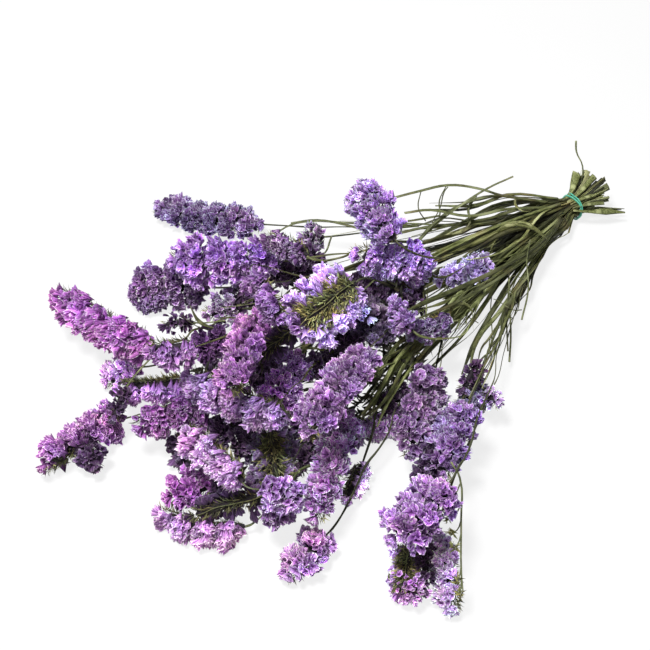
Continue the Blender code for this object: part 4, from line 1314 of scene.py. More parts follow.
def calyx_places(spike, rng, comb, sizes, trim, reach_round):
    """Each calyx's foot, mouth, direction, length, tone and share of the way round, in rows of small clumps; the
    tone is darkened as painted shade where a calyx sits sunk in or between lobes.
    """
    spacing = sizes.calyx_spacing / MM * (0.86 if comb > COMBED else 1.0)
    longest = sizes.calyx_length / MM * (0.7 if comb < 0 else 1.0 - 0.35 * comb)
    rows = max(3, round(length_of(spike) / (ROW_SHARE * spacing)) + 1)
    wrap = reach_round * sizes.wrap * (1 - 0.6 * comb if comb < 0 else 1 - 0.25 * comb)
    seed = rng.uniform(0, 50)
    lobes = max(1, round(length_of(spike) / sizes.lobe_length * MM))
    clumps = {}
    for i in range(rows):
        t = min(1.0, max(0.0, (i + rng.uniform(-0.3, 0.3)) / (rows - 1)))
        centre, across, front, wide, deep = full_section(spike, t)
        _, along = spike.point(t)
        count = max(3, round(wrap * (wide + deep) / spacing))
        off_lobe = 2 * ((t * lobes + 0.3 * math.sin(seed)) % 1.0) - 1 if lobes > 1 else 0.0
        between = max(0.0, (abs(off_lobe) - LOBE_CORE) / LOBE_EDGE)
        lean = lean_at(t, off_lobe)
        root = centre - 0.50 * deep * front
        for j in range(count):
            share = 2 * (j + 0.25 + 0.5 * (i % 2) + rng.uniform(-0.22, 0.22)) / count - 1
            turn = wrap * min(1.0, max(-1.0, share))
            lump, tone = clumps.setdefault(
                (i // 2, round(2.2 * j / 3)), (rng.uniform(-4.2, 1.8), rng.uniform(0.76, 1.18))
            )
            out = unit(front * math.cos(turn) / deep + across * math.sin(turn) / wide)
            reach = front * deep * math.cos(turn) + across * wide * math.sin(turn)
            swell = 1.03 + 0.42 * noise.noise(Vector(centre + reach) * 0.07 + Vector((0, 0, seed)))
            mouth = centre + trim * reach * (swell - 0.32 * between) + out * (lump + rng.uniform(-1.6, 0.9))
            wild = any_way(rng)
            fan = unit(mouth - root)
            way = unit((1 - comb) * fan + comb * front + lean * along + (0.42 - 0.20 * comb) * wild)
            length = min(longest, 0.95 * float(np.dot(mouth - root, way)))
            if length < SHORTEST_CALYX or rng.random() < 0.02 + 0.16 * between:
                continue
            # Painted shade: calyxes sunk in deeper, or standing between lobes, are made darker.
            tone *= (1 - 0.35 * between) * (1.04 + 0.055 * min(0.0, lump))
            yield mouth - way * length, mouth, way, length, tone, abs(turn) / math.pi
    centre, along = spike.point(1.0)
    foot = centre - 5.0 * along
    for _ in range(TIP_CALYXES):
        way = unit(along + 0.5 * any_way(rng))
        yield foot, foot + TIP_LENGTH * way, way, TIP_LENGTH, 1.0, 0.2


def calyx_tint(look, mouth, clump_tone_and_shade, aside, rng):
    """A calyx's tint: its head's tone times the tone of its group, painted shade included, drifting along the head,
    with a step of its own.
    """
    drift = noise.noise(Vector(mouth) * 0.045)
    tone = look.light * clump_tone_and_shade * (1 + 0.14 * drift) * rng.uniform(0.70, 1.30)
    warmth = look.warm + 0.05 * noise.noise(Vector(mouth) * 0.05 + Vector((40, 0, 0))) - 0.12 * (aside - 0.25)
    warmth += rng.uniform(-0.015, 0.015)
    return tone * warmth, tone * look.pale * rng.uniform(0.96, 1.04), tone * (2 - warmth)


def add_flower_head(name, spike, patterns, sizes, finish):
    """Makes all the calyxes of one spike as one piece."""
    rng = random.Random("calyxes of " + name)
    look = tone_of(name)
    radius = sizes.calyx_radius / MM * min(1.0, min(spike.head.width, spike.head.depth) / FULL_HEAD)
    shape = new_shape()
    places = calyx_places(spike, rng, look.comb, sizes, TRIMS.get(name, 1.0), back_of(name).wrap)
    for foot, mouth, way, length, clump_tone_and_shade, aside in places:
        if mouth[2] < LOW_MOUTH:
            way = unit(np.array((way[0], way[1], max(way[2], -0.2))))
            foot = mouth - way * length
            foot[2] = max(foot[2], LOW_FOOT)
        wide = radius * rng.uniform(0.62, 1.18) * (0.84 if look.comb > COMBED else 1.0)
        tint = calyx_tint(look, mouth, clump_tone_and_shade, aside, rng)
        turn = Matrix.Rotation(rng.uniform(0, 2 * math.pi), 4, "Z")
        spin = frame_of(way, (0.3, 0.5, 1.0)).to_4x4()
        grow = Matrix.Diagonal((wide, wide, length, 1.0))
        rng.choice(patterns).copy_into(shape, Matrix.Translation(foot) @ spin @ turn @ grow, tint)
    finish_piece(f"florets_{name}", shape, [finish], solids_of(name))


class STATICE_OT_flower_heads(bpy.types.Operator):
    """Cover every spike's front with papery calyxes"""

    bl_idname = "statice.flower_heads"
    bl_label = "Flower Heads"

    def execute(self, context):
        sizes = context.scene.statice_flowers
        rng = random.Random("calyx patterns")
        patterns = [
            calyx_pattern(rng, rng.uniform(0.80, 1.10), rng.uniform(0.42, 0.95), k % 2 == 0) for k in range(20)
        ]
        finishes = {
            name: calyx_finish("calyx_" + name, tuple(getattr(sizes, name)), sizes.see_through)
            for name in ("dusky", "mauve", "lilac", "lavender", "violet", "magenta")
        }
        for name, spike in {**plan()[0], **sprigs()}.items():
            own = patterns if is_head(name) else patterns[1::2]
            add_flower_head(name, spike, own, sizes, finishes[spike.head.shade])
        return {"FINISHED"}


# Green backs of the spikes


# The heart's width, its depth and how far it lies towards the back, as shares of the section's halves.
HEART_WIDTH, HEART_DEPTH, HEART_BACK = 0.30, 0.33, 0.16
HEART_TIP = 0.92


def heart(shape, spike):
    """The middle of a spike that its calyxes stand on, coloured near black as painted shade: one swept body, drawn
    to a point at its tip.
    """
    last = None
    for t in np.linspace(-0.02, 0.86, 9):
        centre, across, front, wide, deep = full_section(spike, max(0.0, t))
        _, along = spike.point(t)
        centre = centre - HEART_BACK * deep * front + (along * length_of(spike) * t if t < 0 else 0)
        turn = Matrix((across, front, np.cross(across, front))).transposed().to_4x4()
        grow = Matrix.Diagonal((HEART_WIDTH * wide, HEART_DEPTH * deep, 1.0, 1.0))
        place = Matrix.Translation(centre) @ turn @ grow
        if last is None:
            bmesh.ops.create_circle(shape, cap_ends=True, cap_tris=True, radius=1.0, segments=8, matrix=place)
            rim = open_rim(shape)
        else:
            rim, _ = pulled(shape, rim, place @ last.inverted())
        last = place
    drawn_to(shape, rim, spike.point(HEART_TIP)[0])
    bmesh.ops.recalc_face_normals(shape, faces=shape.faces[:])
    layer = shape.verts.layers.float_color["tint"]
    for face in shape.faces:
        face.material_index = 1
    for vert in shape.verts:
        vert[layer] = WHITE
        vert.co.z = lifted(vert.co.z, LOWEST_HEART)


# A bract of a tuft: its spread aside, its lift off the back, and its foot's place out from the middle.
BRACT_FAN = (
    (1.00, 0.10, 0.22), (0.80, 0.35, 0.12), (0.50, 0.60, 0.05), (0.95, -0.25, 0.30), (0.65, 0.10, 0.18),
)
AXIS_POINTS = 7
# A back whose calyxes reach less of the way round than this is bare, and shows its bracts.
BARE_WRAP = 0.75
# Tufts along the back for each one that the spacing gives.
BARE_TUFTS, HEAD_TUFTS, SPRIG_TUFTS = 2.1, 0.75, 0.5


def add_axis(shape, spike, profile, tone, rng):
    """Adds the thin axis that the bracts grow from, along the back of the spike."""
    points = []
    for t in np.linspace(0.0, 0.97, AXIS_POINTS):
        centre, across, front, _, deep = full_section(spike, t)
        points.append(centre - 0.60 * deep * front + rng.uniform(-1.2, 1.2) * across)
    add_twig(shape, points, np.linspace(0.7, 0.3, AXIS_POINTS), profile, tone, steps=3)


def add_spike_back(name, spike, patterns, sizes, finishes, profile):
    """Makes the heart, the axis and the bracts of one spike as one piece."""
    rng = random.Random("bracts of " + name)
    shape = new_shape()
    heart(shape, spike)
    back = back_of(name)
    bristling = tone_of(name).comb < 0
    bare = bristling or back.wrap < BARE_WRAP
    largest, bristle, stray = (1.20, 1.7, 0.55) if bristling else (0.90, 0.7, 0.50)
    add_axis(shape, spike, profile, 0.9 * back.light if bare else 0.7, rng)
    tufts = BARE_TUFTS if bare else HEAD_TUFTS if is_head(name) else SPRIG_TUFTS
    count = max(5, round(tufts * length_of(spike) / (sizes.bract_spacing / MM)))
    for i in range(count):
        t = 0.05 + 0.82 * (i + 0.3) / count if bare else (i + 0.3) / count
        centre, across, front, wide, deep = full_section(spike, t)
        _, along = spike.point(t)
        for side in (-1, 1):
            for spread, lift, out in BRACT_FAN:
                wild = any_way(rng)
                way = unit(
                    side * spread * across * rng.uniform(0.4, 1.3)
                    - lift * front * rng.uniform(0.0, bristle)
                    + (0.50 + 0.5 * t) * along * rng.uniform(0.3, 1.5)
                    + stray * wild
                )
                size = min(largest, (0.55 * wide + 3.0) / 10.5) * rng.uniform(0.50, 1.20)
                start = centre - (0.58 - 0.35 * out) * deep * front
                start = start + side * across * out * wide * (1.45 if bare else 1.0)
                start = start + along * rng.uniform(-1.5, 1.5)
                turn = frame_of(way, np.cross(way, front)).to_4x4()
                turn = turn @ Matrix.Rotation(rng.uniform(-1, 1), 4, "Z")
                tone = back.light * rng.choice((0.22, 0.35, 0.6, 1.3, 1.9)) * rng.uniform(0.85, 1.15)
                tint = (tone * rng.uniform(0.95, 1.20), tone, tone * rng.uniform(0.8, 1.1))
                place = Matrix.Translation(start) @ turn @ Matrix.Scale(size, 4)
                rng.choice(patterns).copy_into(shape, place, tint)
    finish_piece(f"bracts_{name}", shape, finishes, solids_of(name))


class STATICE_OT_bracts(bpy.types.Operator):
    """Lay tufts of pointed bracts along the back of every spike, over its heart, coloured near black as painted
    shade
    """

    bl_idname = "statice.bracts"
    bl_label = "Bracts"

    def execute(self, context):
        greens = context.scene.statice_greens
        rng = random.Random("bract patterns")
        patterns = [bract_pattern(rng, greens.bract_length / MM) for _ in range(6)]
        leafy = green_finish("bract_green", tuple(greens.bract), tuple(greens.brown), tuple(greens.pale))
        # The heart's near-black finish is painted shade.
        dark = plain_finish("spike_heart_painted_shade", tuple(greens.shadow), 0.9, 300.0, 0.0004, 0.5)
        profile = profile_curve("rachis_profile", six_sided(0.8))
        for name, spike in {**plan()[0], **sprigs()}.items():
            add_spike_back(name, spike, patterns, greens, [leafy, dark], profile)
        bpy.data.objects.remove(profile, do_unlink=True)
        return {"FINISHED"}


# Stems

# The outlines of a stem with its two wings, and of a blade with its keel.
WINGED = (
    (1.25, 0.03), (0.62, 0.17), (0.30, 0.46), (-0.30, 0.46), (-0.62, 0.17), (-1.25, 0.03),
    (-1.25, -0.06), (-0.60, -0.20), (-0.26, -0.42), (0.26, -0.42), (0.60, -0.20), (1.25, -0.06),
)
BLADE = (
    (1.15, 0.0), (0.55, 0.20), (0.0, 0.28), (-0.55, 0.20), (-1.15, 0.0), (-0.55, -0.12), (0.0, -0.16),
    (0.55, -0.12),
)
# How far a stem and a thin blade kink aside at each bead.
STEM_KINK, BLADE_KINK = 3.3, 3.6
# A cut end further out than this is drawn to a point, and the others are broad.
LONGEST_END = 41.0
BROAD_END, POINTED_END = 1.45, 0.35
# The stems up to this one keep all their companions, and those after it keep fewer.
LAST_FULL_STEM = 12
FEW_COMPANIONS = 2
# How far from a cut end its faces show pith.
PITH_REACH = 3.5
# A filler has as many points as this, out of all those that its two stems are measured out in.
FILLER_POINTS, STEM_POINTS = 10, 16
FILLER_FLOOR = 2.0


def kinked(points, rng, most):
    """The path with small uneven bends between the band and its last beads."""
    bends = np.array([any_way(rng) for _ in points]) * (0.5 * most, most, 0.7 * most)
    bends[:IN_BAND] = bends[-3:] = 0.0
    bent = points + bends
    bent[:, 2] = np.maximum(bent[:, 2], np.minimum(points[:, 2], 1.6))
    return bent


def companion(run, rng):
    """The points and radii of a thin blade that goes through the band with a stem, leaves it and tapers."""
    count = min(len(run.points), max(5, round(rng.uniform(0.40, 0.95) * len(run.points))))
    share = np.linspace(0, 1, count)
    way = rng.uniform(0, 2 * math.pi)
    away = np.array((0.0, math.cos(way), 0.7 * math.sin(way)))
    bow = any_way(rng)
    reach = rng.choice((2.5, 4.0, 6.0, 14.0)) * rng.uniform(0.8, 1.2)
    points = run.points[:count] + away * (1.3 + reach * share**1.4)[:, None]
    points += bow * (rng.uniform(2.0, 11.0) * np.sin(math.pi * share * rng.uniform(1.0, 2.8)) * share)[:, None]
    points = kinked(points, rng, BLADE_KINK)
    if run.parent is None:
        points[0] += np.array((rng.uniform(-9, 1), rng.uniform(-4, 4), rng.uniform(-3, 4)))
    return points, rng.uniform(0.8, 1.6) * np.minimum(1.0, 0.25 + 2.2 * (1 - share))


def evenly(points, count):
    """The path again in even steps."""
    along = np.append(0, np.cumsum(np.linalg.norm(np.diff(points, axis=0), axis=1)))
    places = np.linspace(0, along[-1], count)
    return np.stack([np.interp(places, along, points[:, k]) for k in range(3)], axis=1)


def add_fillers(greens, finishes, blade):
    """Low ribbons between each two neighbouring stems, so that the fan of stems closes up, tinted near black as
    painted shade.
    """
    trunks = [strand for strand in plan()[1] if strand.parent is None]
    trunks.sort(key=lambda strand: math.atan2(strand.points[-1][1], -strand.points[-1][0]))
    rng = random.Random("fillers")
    shape = new_shape()
    share = np.linspace(0, 1, FILLER_POINTS)
    for pair in zip(trunks, trunks[1:]):
        one, two = (evenly(trunk.points, STEM_POINTS)[:FILLER_POINTS] for trunk in pair)
        for _ in range(greens.fillers):
            part = rng.choice((0.08, 0.16, 0.84, 0.92))
            points = part * one + (1 - part) * two
            bow = any_way(rng) * (3.0, 7.0, 4.0)
            points += bow * (np.sin(math.pi * share * rng.uniform(1.0, 2.2)) * share)[:, None]
            points[:, 2] = np.maximum(FILLER_FLOOR, points[:, 2] * (1 - 0.25 * share))
            radii = rng.uniform(1.4, 2.4) * np.minimum(1.0, 0.15 + 2.5 * (1 - share))
            radii[:4] = np.minimum(radii[:4], 1.4)
            # Near-black tone: painted shade in the gaps between the stems.
            tone = rng.uniform(0.03, 0.24)
            lean = rng.uniform(-0.6, 0.6) + rng.uniform(-1.5, 1.5) * share
            run_along(shape, points, radii, lean, blade, (tone * 1.03, tone, tone * 0.92), steps=2)
    finish_piece("shade_filler_ribbons", shape, finishes)


def swollen(run, greens, rng):
    """The run's radii, uneven along it; a trunk keeps to its place in the band and slims towards its head."""
    share = np.linspace(0, 1, len(run.points))
    swell = np.array([greens.stem_width * rng.uniform(0.80, 1.20) for _ in run.points])
    if run.parent is None:
        swell *= 1 - 0.60 * np.clip((share - 0.45) / 0.45, 0, 1)
        swell[:IN_BAND] = np.minimum(swell[:IN_BAND], 1.0)
        swell[0] = BROAD_END if run.points[0][0] < LONGEST_END else POINTED_END
        swell[1:3] = 0.92
    return run.radii * swell * (greens.branch_width if run.parent else 1.0)


def add_companions(shape, run, count, greens, blade, rng):
    """Adds thin blades beside a run, each with its own tone."""
    size = greens.stem_width * (greens.branch_width if run.parent else 1.0)
    for _ in range(count):
        points, radii = companion(run, rng)
        tone = rng.choice((0.10, 0.3, 0.7, 1.3, 1.9)) * rng.uniform(0.85, 1.15)
        lean = rng.uniform(0, math.pi) + rng.uniform(-2, 2) * np.linspace(0, 1, len(points))
        run_along(shape, points, radii * size, lean, blade, (tone * 1.03, tone, tone * 0.95), steps=2)


def add_stem(number, runs, greens, finishes, profile, blade):
    """Makes a stem, its branches and their companions as one piece, with pith on its cut end."""
    rng = random.Random(f"stem {number}")
    shape = new_shape()
    tone = rng.uniform(0.45, 1.75)
    tint = (tone * rng.uniform(0.95, 1.10), tone, tone * rng.uniform(0.85, 1.1))
    for run in runs:
        points = kinked(run.points, rng, STEM_KINK)
        radii = swollen(run, greens, rng)
        twist = greens.twist * rng.choice((-1, 1)) * rng.uniform(0.5, 1.4)
        share = np.linspace(0, 1, len(points))
        turns = rng.uniform(0, math.pi) + 2 * math.pi * twist * share * (0.6 if run.parent else 1.0)
        run_along(shape, points, radii, turns, profile, tint, steps=3, fade=0.45 if run.parent else 0.35)
        most = greens.companions if number <= LAST_FULL_STEM else FEW_COMPANIONS
        add_companions(shape, run, rng.choice((0, 1)) if run.parent else most, greens, blade, rng)
    cut = Vector(runs[0].points[0])
    for face in shape.faces:
        if (face.calc_center_median() - cut).length < PITH_REACH and abs(face.normal.x) > 0.75:
            face.material_index = 1
    finish_piece(f"stem_wings_{number:02d}", shape, finishes, [f"stem_{number:02d}"])


class STATICE_OT_stems(bpy.types.Operator):
    """Run a flat winged stem along every path of the bunch, forking to its heads"""

    bl_idname = "statice.stems"
    bl_label = "Stems"

    def execute(self, context):
        greens = context.scene.statice_greens
        rind = stem_finish("stem_rind", tuple(greens.olive), tuple(greens.pale), tuple(greens.brown))
        pith = plain_finish("cut_pith", tuple(greens.straw), 0.85, 1500.0, 0.0003, 0.25)
        profile = profile_curve("winged_profile", WINGED)
        blade = profile_curve("blade_profile", BLADE)
        for number in range(1, len(STEMS) + 1):
            runs = [strand for strand in plan()[1] if strand.stem == number]
            add_stem(number, runs, greens, [rind, pith], profile, blade)
        add_fillers(greens, [rind], blade)
        bpy.data.objects.remove(profile, do_unlink=True)
        bpy.data.objects.remove(blade, do_unlink=True)
        return {"FINISHED"}


# Leaves and loose twigs

# The twig of the dry buds is measured out in even points, and each bud's own twig forks off a few before it.
BUD_TWIG_POINTS, BUD_FORK = 60, 6
# A loose twig thicker than this is flat.
BROAD_TWIG = 1.1
# Bracts in a dry bud, and low leaves tinted as painted shade at each bead of a stem.
TUFT_BRACTS = 20
LEAVES_PER_BEAD = 6


def add_blade(shape, points, width, blade, rng, light=1.0):
    """A curled blade through the points, widest below its middle and drawn to a point."""
    share = np.linspace(0, 1, len(points))
    radii = width * (0.35 + 1.6 * share) * np.minimum(1.0, 0.08 + 1.6 * (1 - share))
    turns = rng.uniform(0, 3) + rng.uniform(-1.5, 1.5) * share
    tone = light * rng.uniform(0.75, 1.35)
    run_along(shape, points, radii, turns, blade, (tone * 1.05, tone, tone * 0.9))


def fork_leaves(shape, length, blade, rng):
    """A linear leaf at most of the forks."""
    for strand in plan()[1]:
        if strand.parent is None or rng.random() < 0.35:
            continue
        start = strand.points[0]
        main, fork = strand.parent
        ahead = unit(main.points[fork + 1] - main.points[fork])
        off = unit(strand.points[1] - strand.points[0])
        reach = length * rng.uniform(0.5, 1.1)
        bend = unit(np.array([rng.uniform(-1, 1), rng.uniform(-1, 1), rng.uniform(-1.0, 0.6)]))
        way = unit(ahead + 0.4 * off + 0.3 * bend)
        points = [start + way * reach * s + bend * reach * 0.25 * s * s for s in np.linspace(0, 1, 5)]
        add_blade(shape, points, 1.3, blade, rng)


def ribbons(shape, blade, rng):
    """The flat ribbons over the stems, each copy bent and tinted in its own way."""
    for points in RIBBONS:
        share = np.linspace(0, 1, len(points))
        for _ in range(RIBBON_COPIES):
            aside = any_way(rng) * (6.0, 4.5, 4.0)
            path = np.array(points, float) + aside * np.minimum(1.0, 0.15 + 2 * share[:, None])
            path += (any_way(rng) * (0, 5.0, 3.0)) * np.sin(6.0 * share[:, None])
            radii = rng.uniform(1.0, 2.1) * np.linspace(0.8, 1.1, len(points))
            radii[-1] *= 0.3
            tone = rng.uniform(0.25, 1.4)
            lean = rng.uniform(-0.7, 0.7) + rng.uniform(-2.0, 2.0) * share
            run_along(shape, path, radii, lean, blade, (tone, tone, tone * 0.9))


def husks(shape, blade, rng):
    """The flat leaf bases among the cut ends, blunt or drawn out."""
    for narrow, broad, points in HUSKS:
        radii = [0.7 * narrow, narrow, 0.5 * (narrow + broad), broad]
        if broad < narrow:
            radii = [0.7 * narrow, narrow, 1.25 * narrow, broad]
        tone = rng.uniform(0.85, 1.5)
        lean = [rng.uniform(-0.5, 0.2) + 0.15 * k for k in range(4)]
        run_along(shape, points, [0.87 * radius for radius in radii], lean, blade, (tone, tone, tone * 0.9))


def leafy_parts(greens, blade, rng):
    """Every blade that isn't a stem's companion, in one shape."""
    shape = new_shape()
    fork_leaves(shape, greens.leaf_length / MM, blade, rng)
    for width, light, points in CURLED_LEAVES:
        add_blade(shape, points, width, blade, rng, light)
    husks(shape, blade, rng)
    ribbons(shape, blade, rng)
    return shape


def bare_twigs(blade, twig, rng):
    """The loose twigs, a twig from a stem to each sprig, and the twig of the dry buds, in one shape."""
    shape = new_shape()
    for radius, points in LOOSE_TWIGS:
        radii = radius * np.linspace(0.7, 1.1, len(points))
        add_twig(shape, points, radii, blade if radius > BROAD_TWIG else twig, rng.uniform(0.60, 1.05))
    for spike in sprigs().values():
        end, along = head_entry(spike)
        start = holder_of(end)
        reach = np.linalg.norm(end - start)
        points = bezier(start, start + 0.35 * (end - start), end - along * 0.35 * reach, end + along * 3.0, 5)
        add_twig(shape, points, [0.9] * 5, twig, rng.uniform(0.7, 1.1))
    add_twig(shape, BUD_TWIG, [0.9, 0.85, 0.8, 0.7, 0.5], twig, 0.8)
    even = evenly(np.array(BUD_TWIG, float), BUD_TWIG_POINTS)
    for spot in BUDS:
        near = int(np.argmin(np.linalg.norm(even - spot, axis=1)))
        fork = even[max(0, near - BUD_FORK)]
        path = [fork, fork + 0.5 * (np.array(spot) - fork) + (-2.0, -2.5, 0.0), spot]
        add_twig(shape, path, [0.6, 0.5, 0.4], twig, 0.8, steps=3)
    return shape


def dry_buds(shape, patterns, rng):
    """Tufts of dry bracts beside the bare twig."""
    for spot in BUDS:
        for _ in range(TUFT_BRACTS):
            way = unit(np.array([rng.uniform(-1, 1), rng.uniform(-1, 1), rng.uniform(-0.4, 1)]))
            start = np.array(spot) + np.array([rng.uniform(-1.6, 1.6) for _ in "xyz"])
            size = rng.uniform(0.40, 0.75)
            tone = rng.choice((0.45, 0.8, 1.4)) * rng.uniform(0.85, 1.15)
            turn = frame_of(way, (0.2, 0.5, 1.0)).to_4x4()
            place = Matrix.Translation(start) @ turn @ Matrix.Diagonal((2.6 * size, 2.6 * size, size, 1.0))
            rng.choice(patterns).copy_into(shape, place, (tone * 1.10, tone, tone * 0.8))


def shade_undergrowth(shape, patterns, rng):
    """Dry leaves lying low among the ends of the stems, where the bunch is closed from above, tinted near black as
    painted shade.
    """
    for strand in plan()[1]:
        for bead in strand.points[2:]:
            off = [(bead[k] - MIDDLE[k]) / MIDDLE_REACH[k] for k in (0, 1)]
            if math.hypot(*off) > 1.0:
                continue
            for _ in range(LEAVES_PER_BEAD):
                way = unit(np.array([rng.uniform(-1.0, 0.8), rng.uniform(-1, 1), rng.uniform(-0.15, 0.35)]))
                start = bead * (1, 1, 0.55) + np.array([rng.uniform(-8, 8), rng.uniform(-8, 8), 0.0])
                turn = frame_of(way, (rng.uniform(-1, 1), rng.uniform(-1, 1), 0.6)).to_4x4()
                # Near-black tone: painted shade low under the heads.
                tone = rng.uniform(0.03, 0.22)
                leaf = rng.choice(patterns)
                grow = Matrix.Diagonal((3.6, 3.6, rng.uniform(1.4, 2.4), 1.0))
                tint = (tone * rng.uniform(0.95, 1.3), tone, tone * 0.9)
                leaf.copy_into(shape, Matrix.Translation(start) @ turn @ grow, tint)


class STATICE_OT_leaves(bpy.types.Operator):
    """Add the loose parts: leaves, ribbons, stray twigs, twigs to the sprigs, and a twig of dry buds"""

    bl_idname = "statice.leaves"
    bl_label = "Leaves and Loose Twigs"

    def execute(self, context):
        greens = context.scene.statice_greens
        rng = random.Random("leaves")
        finish = stem_finish("leaf_blade", tuple(greens.olive), tuple(greens.pale), tuple(greens.brown))
        blade = profile_curve("leaf_profile", BLADE)
        twig = profile_curve("twig_profile", six_sided(0.7))
        finish_piece("fork_leaves", leafy_parts(greens, blade, rng), [finish])
        finish_piece("loose_twigs", bare_twigs(blade, twig, rng), [finish])
        shape = new_shape()
        patterns = [bract_pattern(rng, greens.bract_length / MM) for _ in range(4)]
        dry_buds(shape, patterns, rng)
        shade_undergrowth(shape, patterns, rng)
        leafy = green_finish("bud_green", tuple(greens.bract), tuple(greens.brown), tuple(greens.pale))
        # This piece also holds the low leaves tinted as painted shade.
        finish_piece("dry_buds", shape, [leafy])
        bpy.data.objects.remove(blade, do_unlink=True)
        bpy.data.objects.remove(twig, do_unlink=True)
        return {"FINISHED"}


# The band

# The corners of the strand's outline, as shares of its half thickness and its half width.
STRAND_CORNERS = (
    (1, 0.75), (0.75, 1), (-0.75, 1), (-1, 0.75), (-1, -0.75), (-0.75, -1), (0.75, -1), (1, -0.75),
)
POINTS_PER_TURN = 28


def wound(turns, radius):
    """The points of a strand wound about the bundle: slightly six-sided, its turns sliding past each other."""
    count = POINTS_PER_TURN * turns
    points = []
    for i in range(count):
        share = i / count
        turn = 2 * math.pi * turns * share
        hexagon = math.cos(((turn + math.pi / 6) % (math.pi / 3)) - math.pi / 6)
        reach = radius * (0.75 + 0.25 * hexagon)
        reach += 0.5 * math.sin(2 * math.pi * share) + 0.35 * math.sin(7.3 * turn + 1.0) * math.sin(turn)
        slide = 1.9 * math.cos(2 * math.pi * share) + 0.7 * math.sin(3.1 * turn)
        points.append((slide, reach * math.cos(turn), TIE_HEIGHT + reach * math.sin(turn)))
    return points


class STATICE_OT_band(bpy.types.Operator):
    """Wind the rubber band twice about the bundle, its turns crossing behind"""

    bl_idname = "statice.band"
    bl_label = "Rubber Band"

    def execute(self, context):
        tie = context.scene.statice_tie
        shape = new_shape()
        finish = plain_finish("rubber_mint", tuple(tie.mint), 0.42, 220.0, 0.0002, 0.10)
        half_width, half_thick = 0.5 * tie.strand_width / MM, 0.5 * tie.strand_thickness / MM
        profile = profile_curve("strand_profile", [(half_thick * x, half_width * y) for x, y in STRAND_CORNERS])
        points = wound(tie.turns, BAND_INNER_RADIUS + half_thick)
        even = [1.0] * len(points)
        run_along(shape, points, even, [0.0] * len(points), profile, (1, 1, 1), steps=2, cyclic=True)
        finish_piece("band_turns", shape, [finish], ["rubber_band"])
        bpy.data.objects.remove(profile, do_unlink=True)
        return {"FINISHED"}


# The stage, in metres from the point below the band

LAMP_AIM = Vector((-0.30, 0.0, 0.03))
CAMERA_PLACE, CAMERA_AIM = Vector((-0.689, -0.539, 0.821)), Vector((-0.313, -0.002, 0.040))
FLOOR_SIZE = 4.0
# The floor takes the most shadow within the first distance, and glows evenly beyond the second.
GLOW_FROM, GLOW_TO = 0.8, 2.0


def put_in(name, data, place, aim):
    """Puts a lamp or a camera in the scene, pointed at the aim."""
    made = bpy.data.objects.new(name, data)
    made.location = TIE + place
    made.rotation_euler = (aim - place).to_track_quat("-Z", "Y").to_euler()
    bpy.context.scene.collection.objects.link(made)
    return made


def soft_lamp(name, power, size, place):
    lamp = bpy.data.lights.new(name, "AREA")
    lamp.shape = "DISK"
    lamp.energy = power
    lamp.size = size
    put_in(name, lamp, Vector(place), LAMP_AIM)


def floor_finish(colour):
    """A pale matt floor that reads as white where the camera sees it, and still takes the bunch's shadow."""
    made = Finish(bpy.data.materials.new("pale_floor"))
    rays = made.add("LightPath").outputs
    seen = made.math("MAXIMUM", rays["Is Camera Ray"], rays["Is Glossy Ray"])
    seen = made.math("MAXIMUM", seen, rays["Is Transmission Ray"])
    grain = made.ramp(made.noise(9.0, 3.0), ((0.3, scaled(colour, 0.985)), (0.7, colour)))
    grain = made.mix("MIX", seen, scaled(colour, 0.5), grain)
    matt = made.add("BsdfDiffuse", {"Color": grain, "Roughness": 0.3}).outputs[0]
    glow = made.add("Emission", {"Color": WHITE, "Strength": 1.0}).outputs[0]
    where = made.add("TexCoord").outputs["Object"]
    away = made.add("VectorMath", {0: where}, operation="LENGTH").outputs["Value"]
    spread = {"Value": away, "From Min": GLOW_FROM, "From Max": GLOW_TO, "To Min": 0.80, "To Max": 1.0}
    share = made.math("MULTIPLY", seen, made.add("MapRange", spread).outputs[0])
    return made.output(made.shared(share, matt, glow))


def soft_room(strength):
    """Even light from all round, which the camera sees as white."""
    made = Finish(bpy.data.worlds.new("soft_room"))
    rays = made.add("LightPath").outputs
    seen = made.math("MAXIMUM", rays["Is Camera Ray"], rays["Is Transmission Ray"])
    light = made.add("Background", {"Color": WHITE, "Strength": strength}).outputs[0]
    white = made.add("Background", {"Color": WHITE, "Strength": 1.0}).outputs[0]
    return made.output(made.shared(seen, light, white), "OutputWorld")


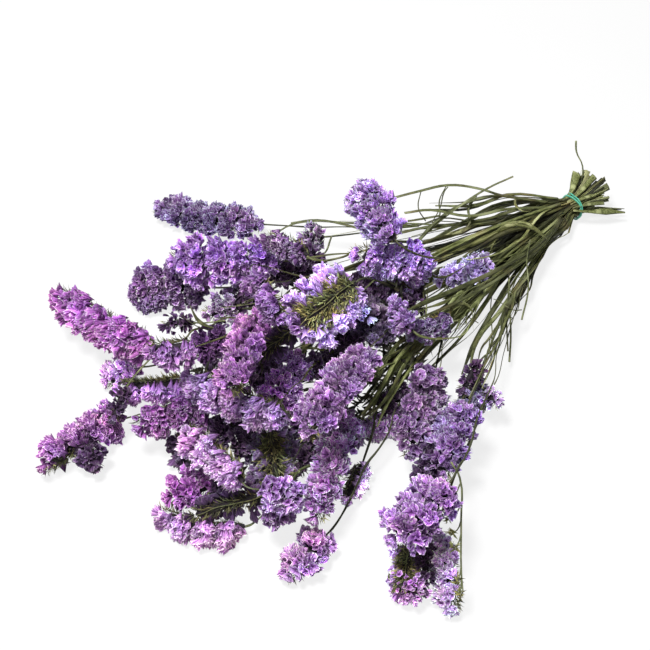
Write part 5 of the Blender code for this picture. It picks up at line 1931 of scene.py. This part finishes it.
def lay_floor(colour):
    """A wide floor at the height of the surface that the bunch lies on."""
    shape = bmesh.new()
    bmesh.ops.create_grid(shape, x_segments=2, y_segments=2, size=FLOOR_SIZE)
    mesh = bpy.data.meshes.new("floor")
    shape.to_mesh(mesh)
    shape.free()
    mesh.materials.append(floor_finish(colour))
    floor = bpy.data.objects.new("floor", mesh)
    bpy.context.scene.collection.objects.link(floor)
    floor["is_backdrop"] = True


class STATICE_OT_stage(bpy.types.Operator):
    """Set the pale floor, the soft studio light and the camera"""

    bl_idname = "statice.stage"
    bl_label = "Stage"

    def execute(self, context):
        stage = context.scene.statice_stage
        lay_floor(tuple(stage.floor))
        context.scene.world = soft_room(stage.sky)
        context.scene.view_settings.view_transform = "Standard"
        soft_lamp("key_softbox", stage.key, 0.45, (-0.75, 0.05, 1.65))
        soft_lamp("fill_softbox", stage.fill, 1.0, (-1.10, -0.80, 1.10))
        soft_lamp("back_softbox", stage.back, 1.0, (-0.05, 1.20, 0.80))
        lens = bpy.data.cameras.new("camera")
        lens.sensor_width = 36.0
        lens.lens = stage.lens
        lens.clip_start = 0.02
        context.scene.camera = put_in("camera", lens, CAMERA_PLACE, CAMERA_AIM)
        return {"FINISHED"}


class STATICE_PT_panel(bpy.types.Panel):
    """The parts of the bunch, in the order that they are made"""

    bl_label = "Bunch of Dried Statice"
    bl_space_type = "VIEW_3D"
    bl_region_type = "UI"
    bl_category = "Statice"

    def draw(self, context):
        for operator in OPERATORS:
            self.layout.operator(operator.bl_idname)
        for group in GROUPS:
            box = self.layout.box()
            for name in GROUPS[group].__annotations__:
                box.prop(getattr(context.scene, group), name)


OPERATORS = (
    STATICE_OT_stage, STATICE_OT_stems, STATICE_OT_band, STATICE_OT_bracts, STATICE_OT_flower_heads,
    STATICE_OT_leaves,
)
GROUPS = {
    "statice_flowers": StaticeFlowers, "statice_greens": StaticeGreens, "statice_tie": StaticeTie,
    "statice_stage": StaticeStage,
}


def register():
    for made in (*GROUPS.values(), *OPERATORS, STATICE_PT_panel):
        bpy.utils.register_class(made)
    for name, group in GROUPS.items():
        setattr(bpy.types.Scene, name, PointerProperty(type=group))


def unregister():
    for name in GROUPS:
        delattr(bpy.types.Scene, name)
    for made in reversed((*GROUPS.values(), *OPERATORS, STATICE_PT_panel)):
        bpy.utils.unregister_class(made)


def main():
    """Makes the whole bunch and its stage."""
    register()
    bpy.ops.statice.stage()
    bpy.ops.statice.stems()
    bpy.ops.statice.band()
    bpy.ops.statice.bracts()
    bpy.ops.statice.flower_heads()
    bpy.ops.statice.leaves()
    boxes = {"cad": CAD_BOX, "visual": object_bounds()}
    {name: [list(corner) for corner in corners] for name, corners in boxes.items()}


if __name__ == "__main__":
    main()
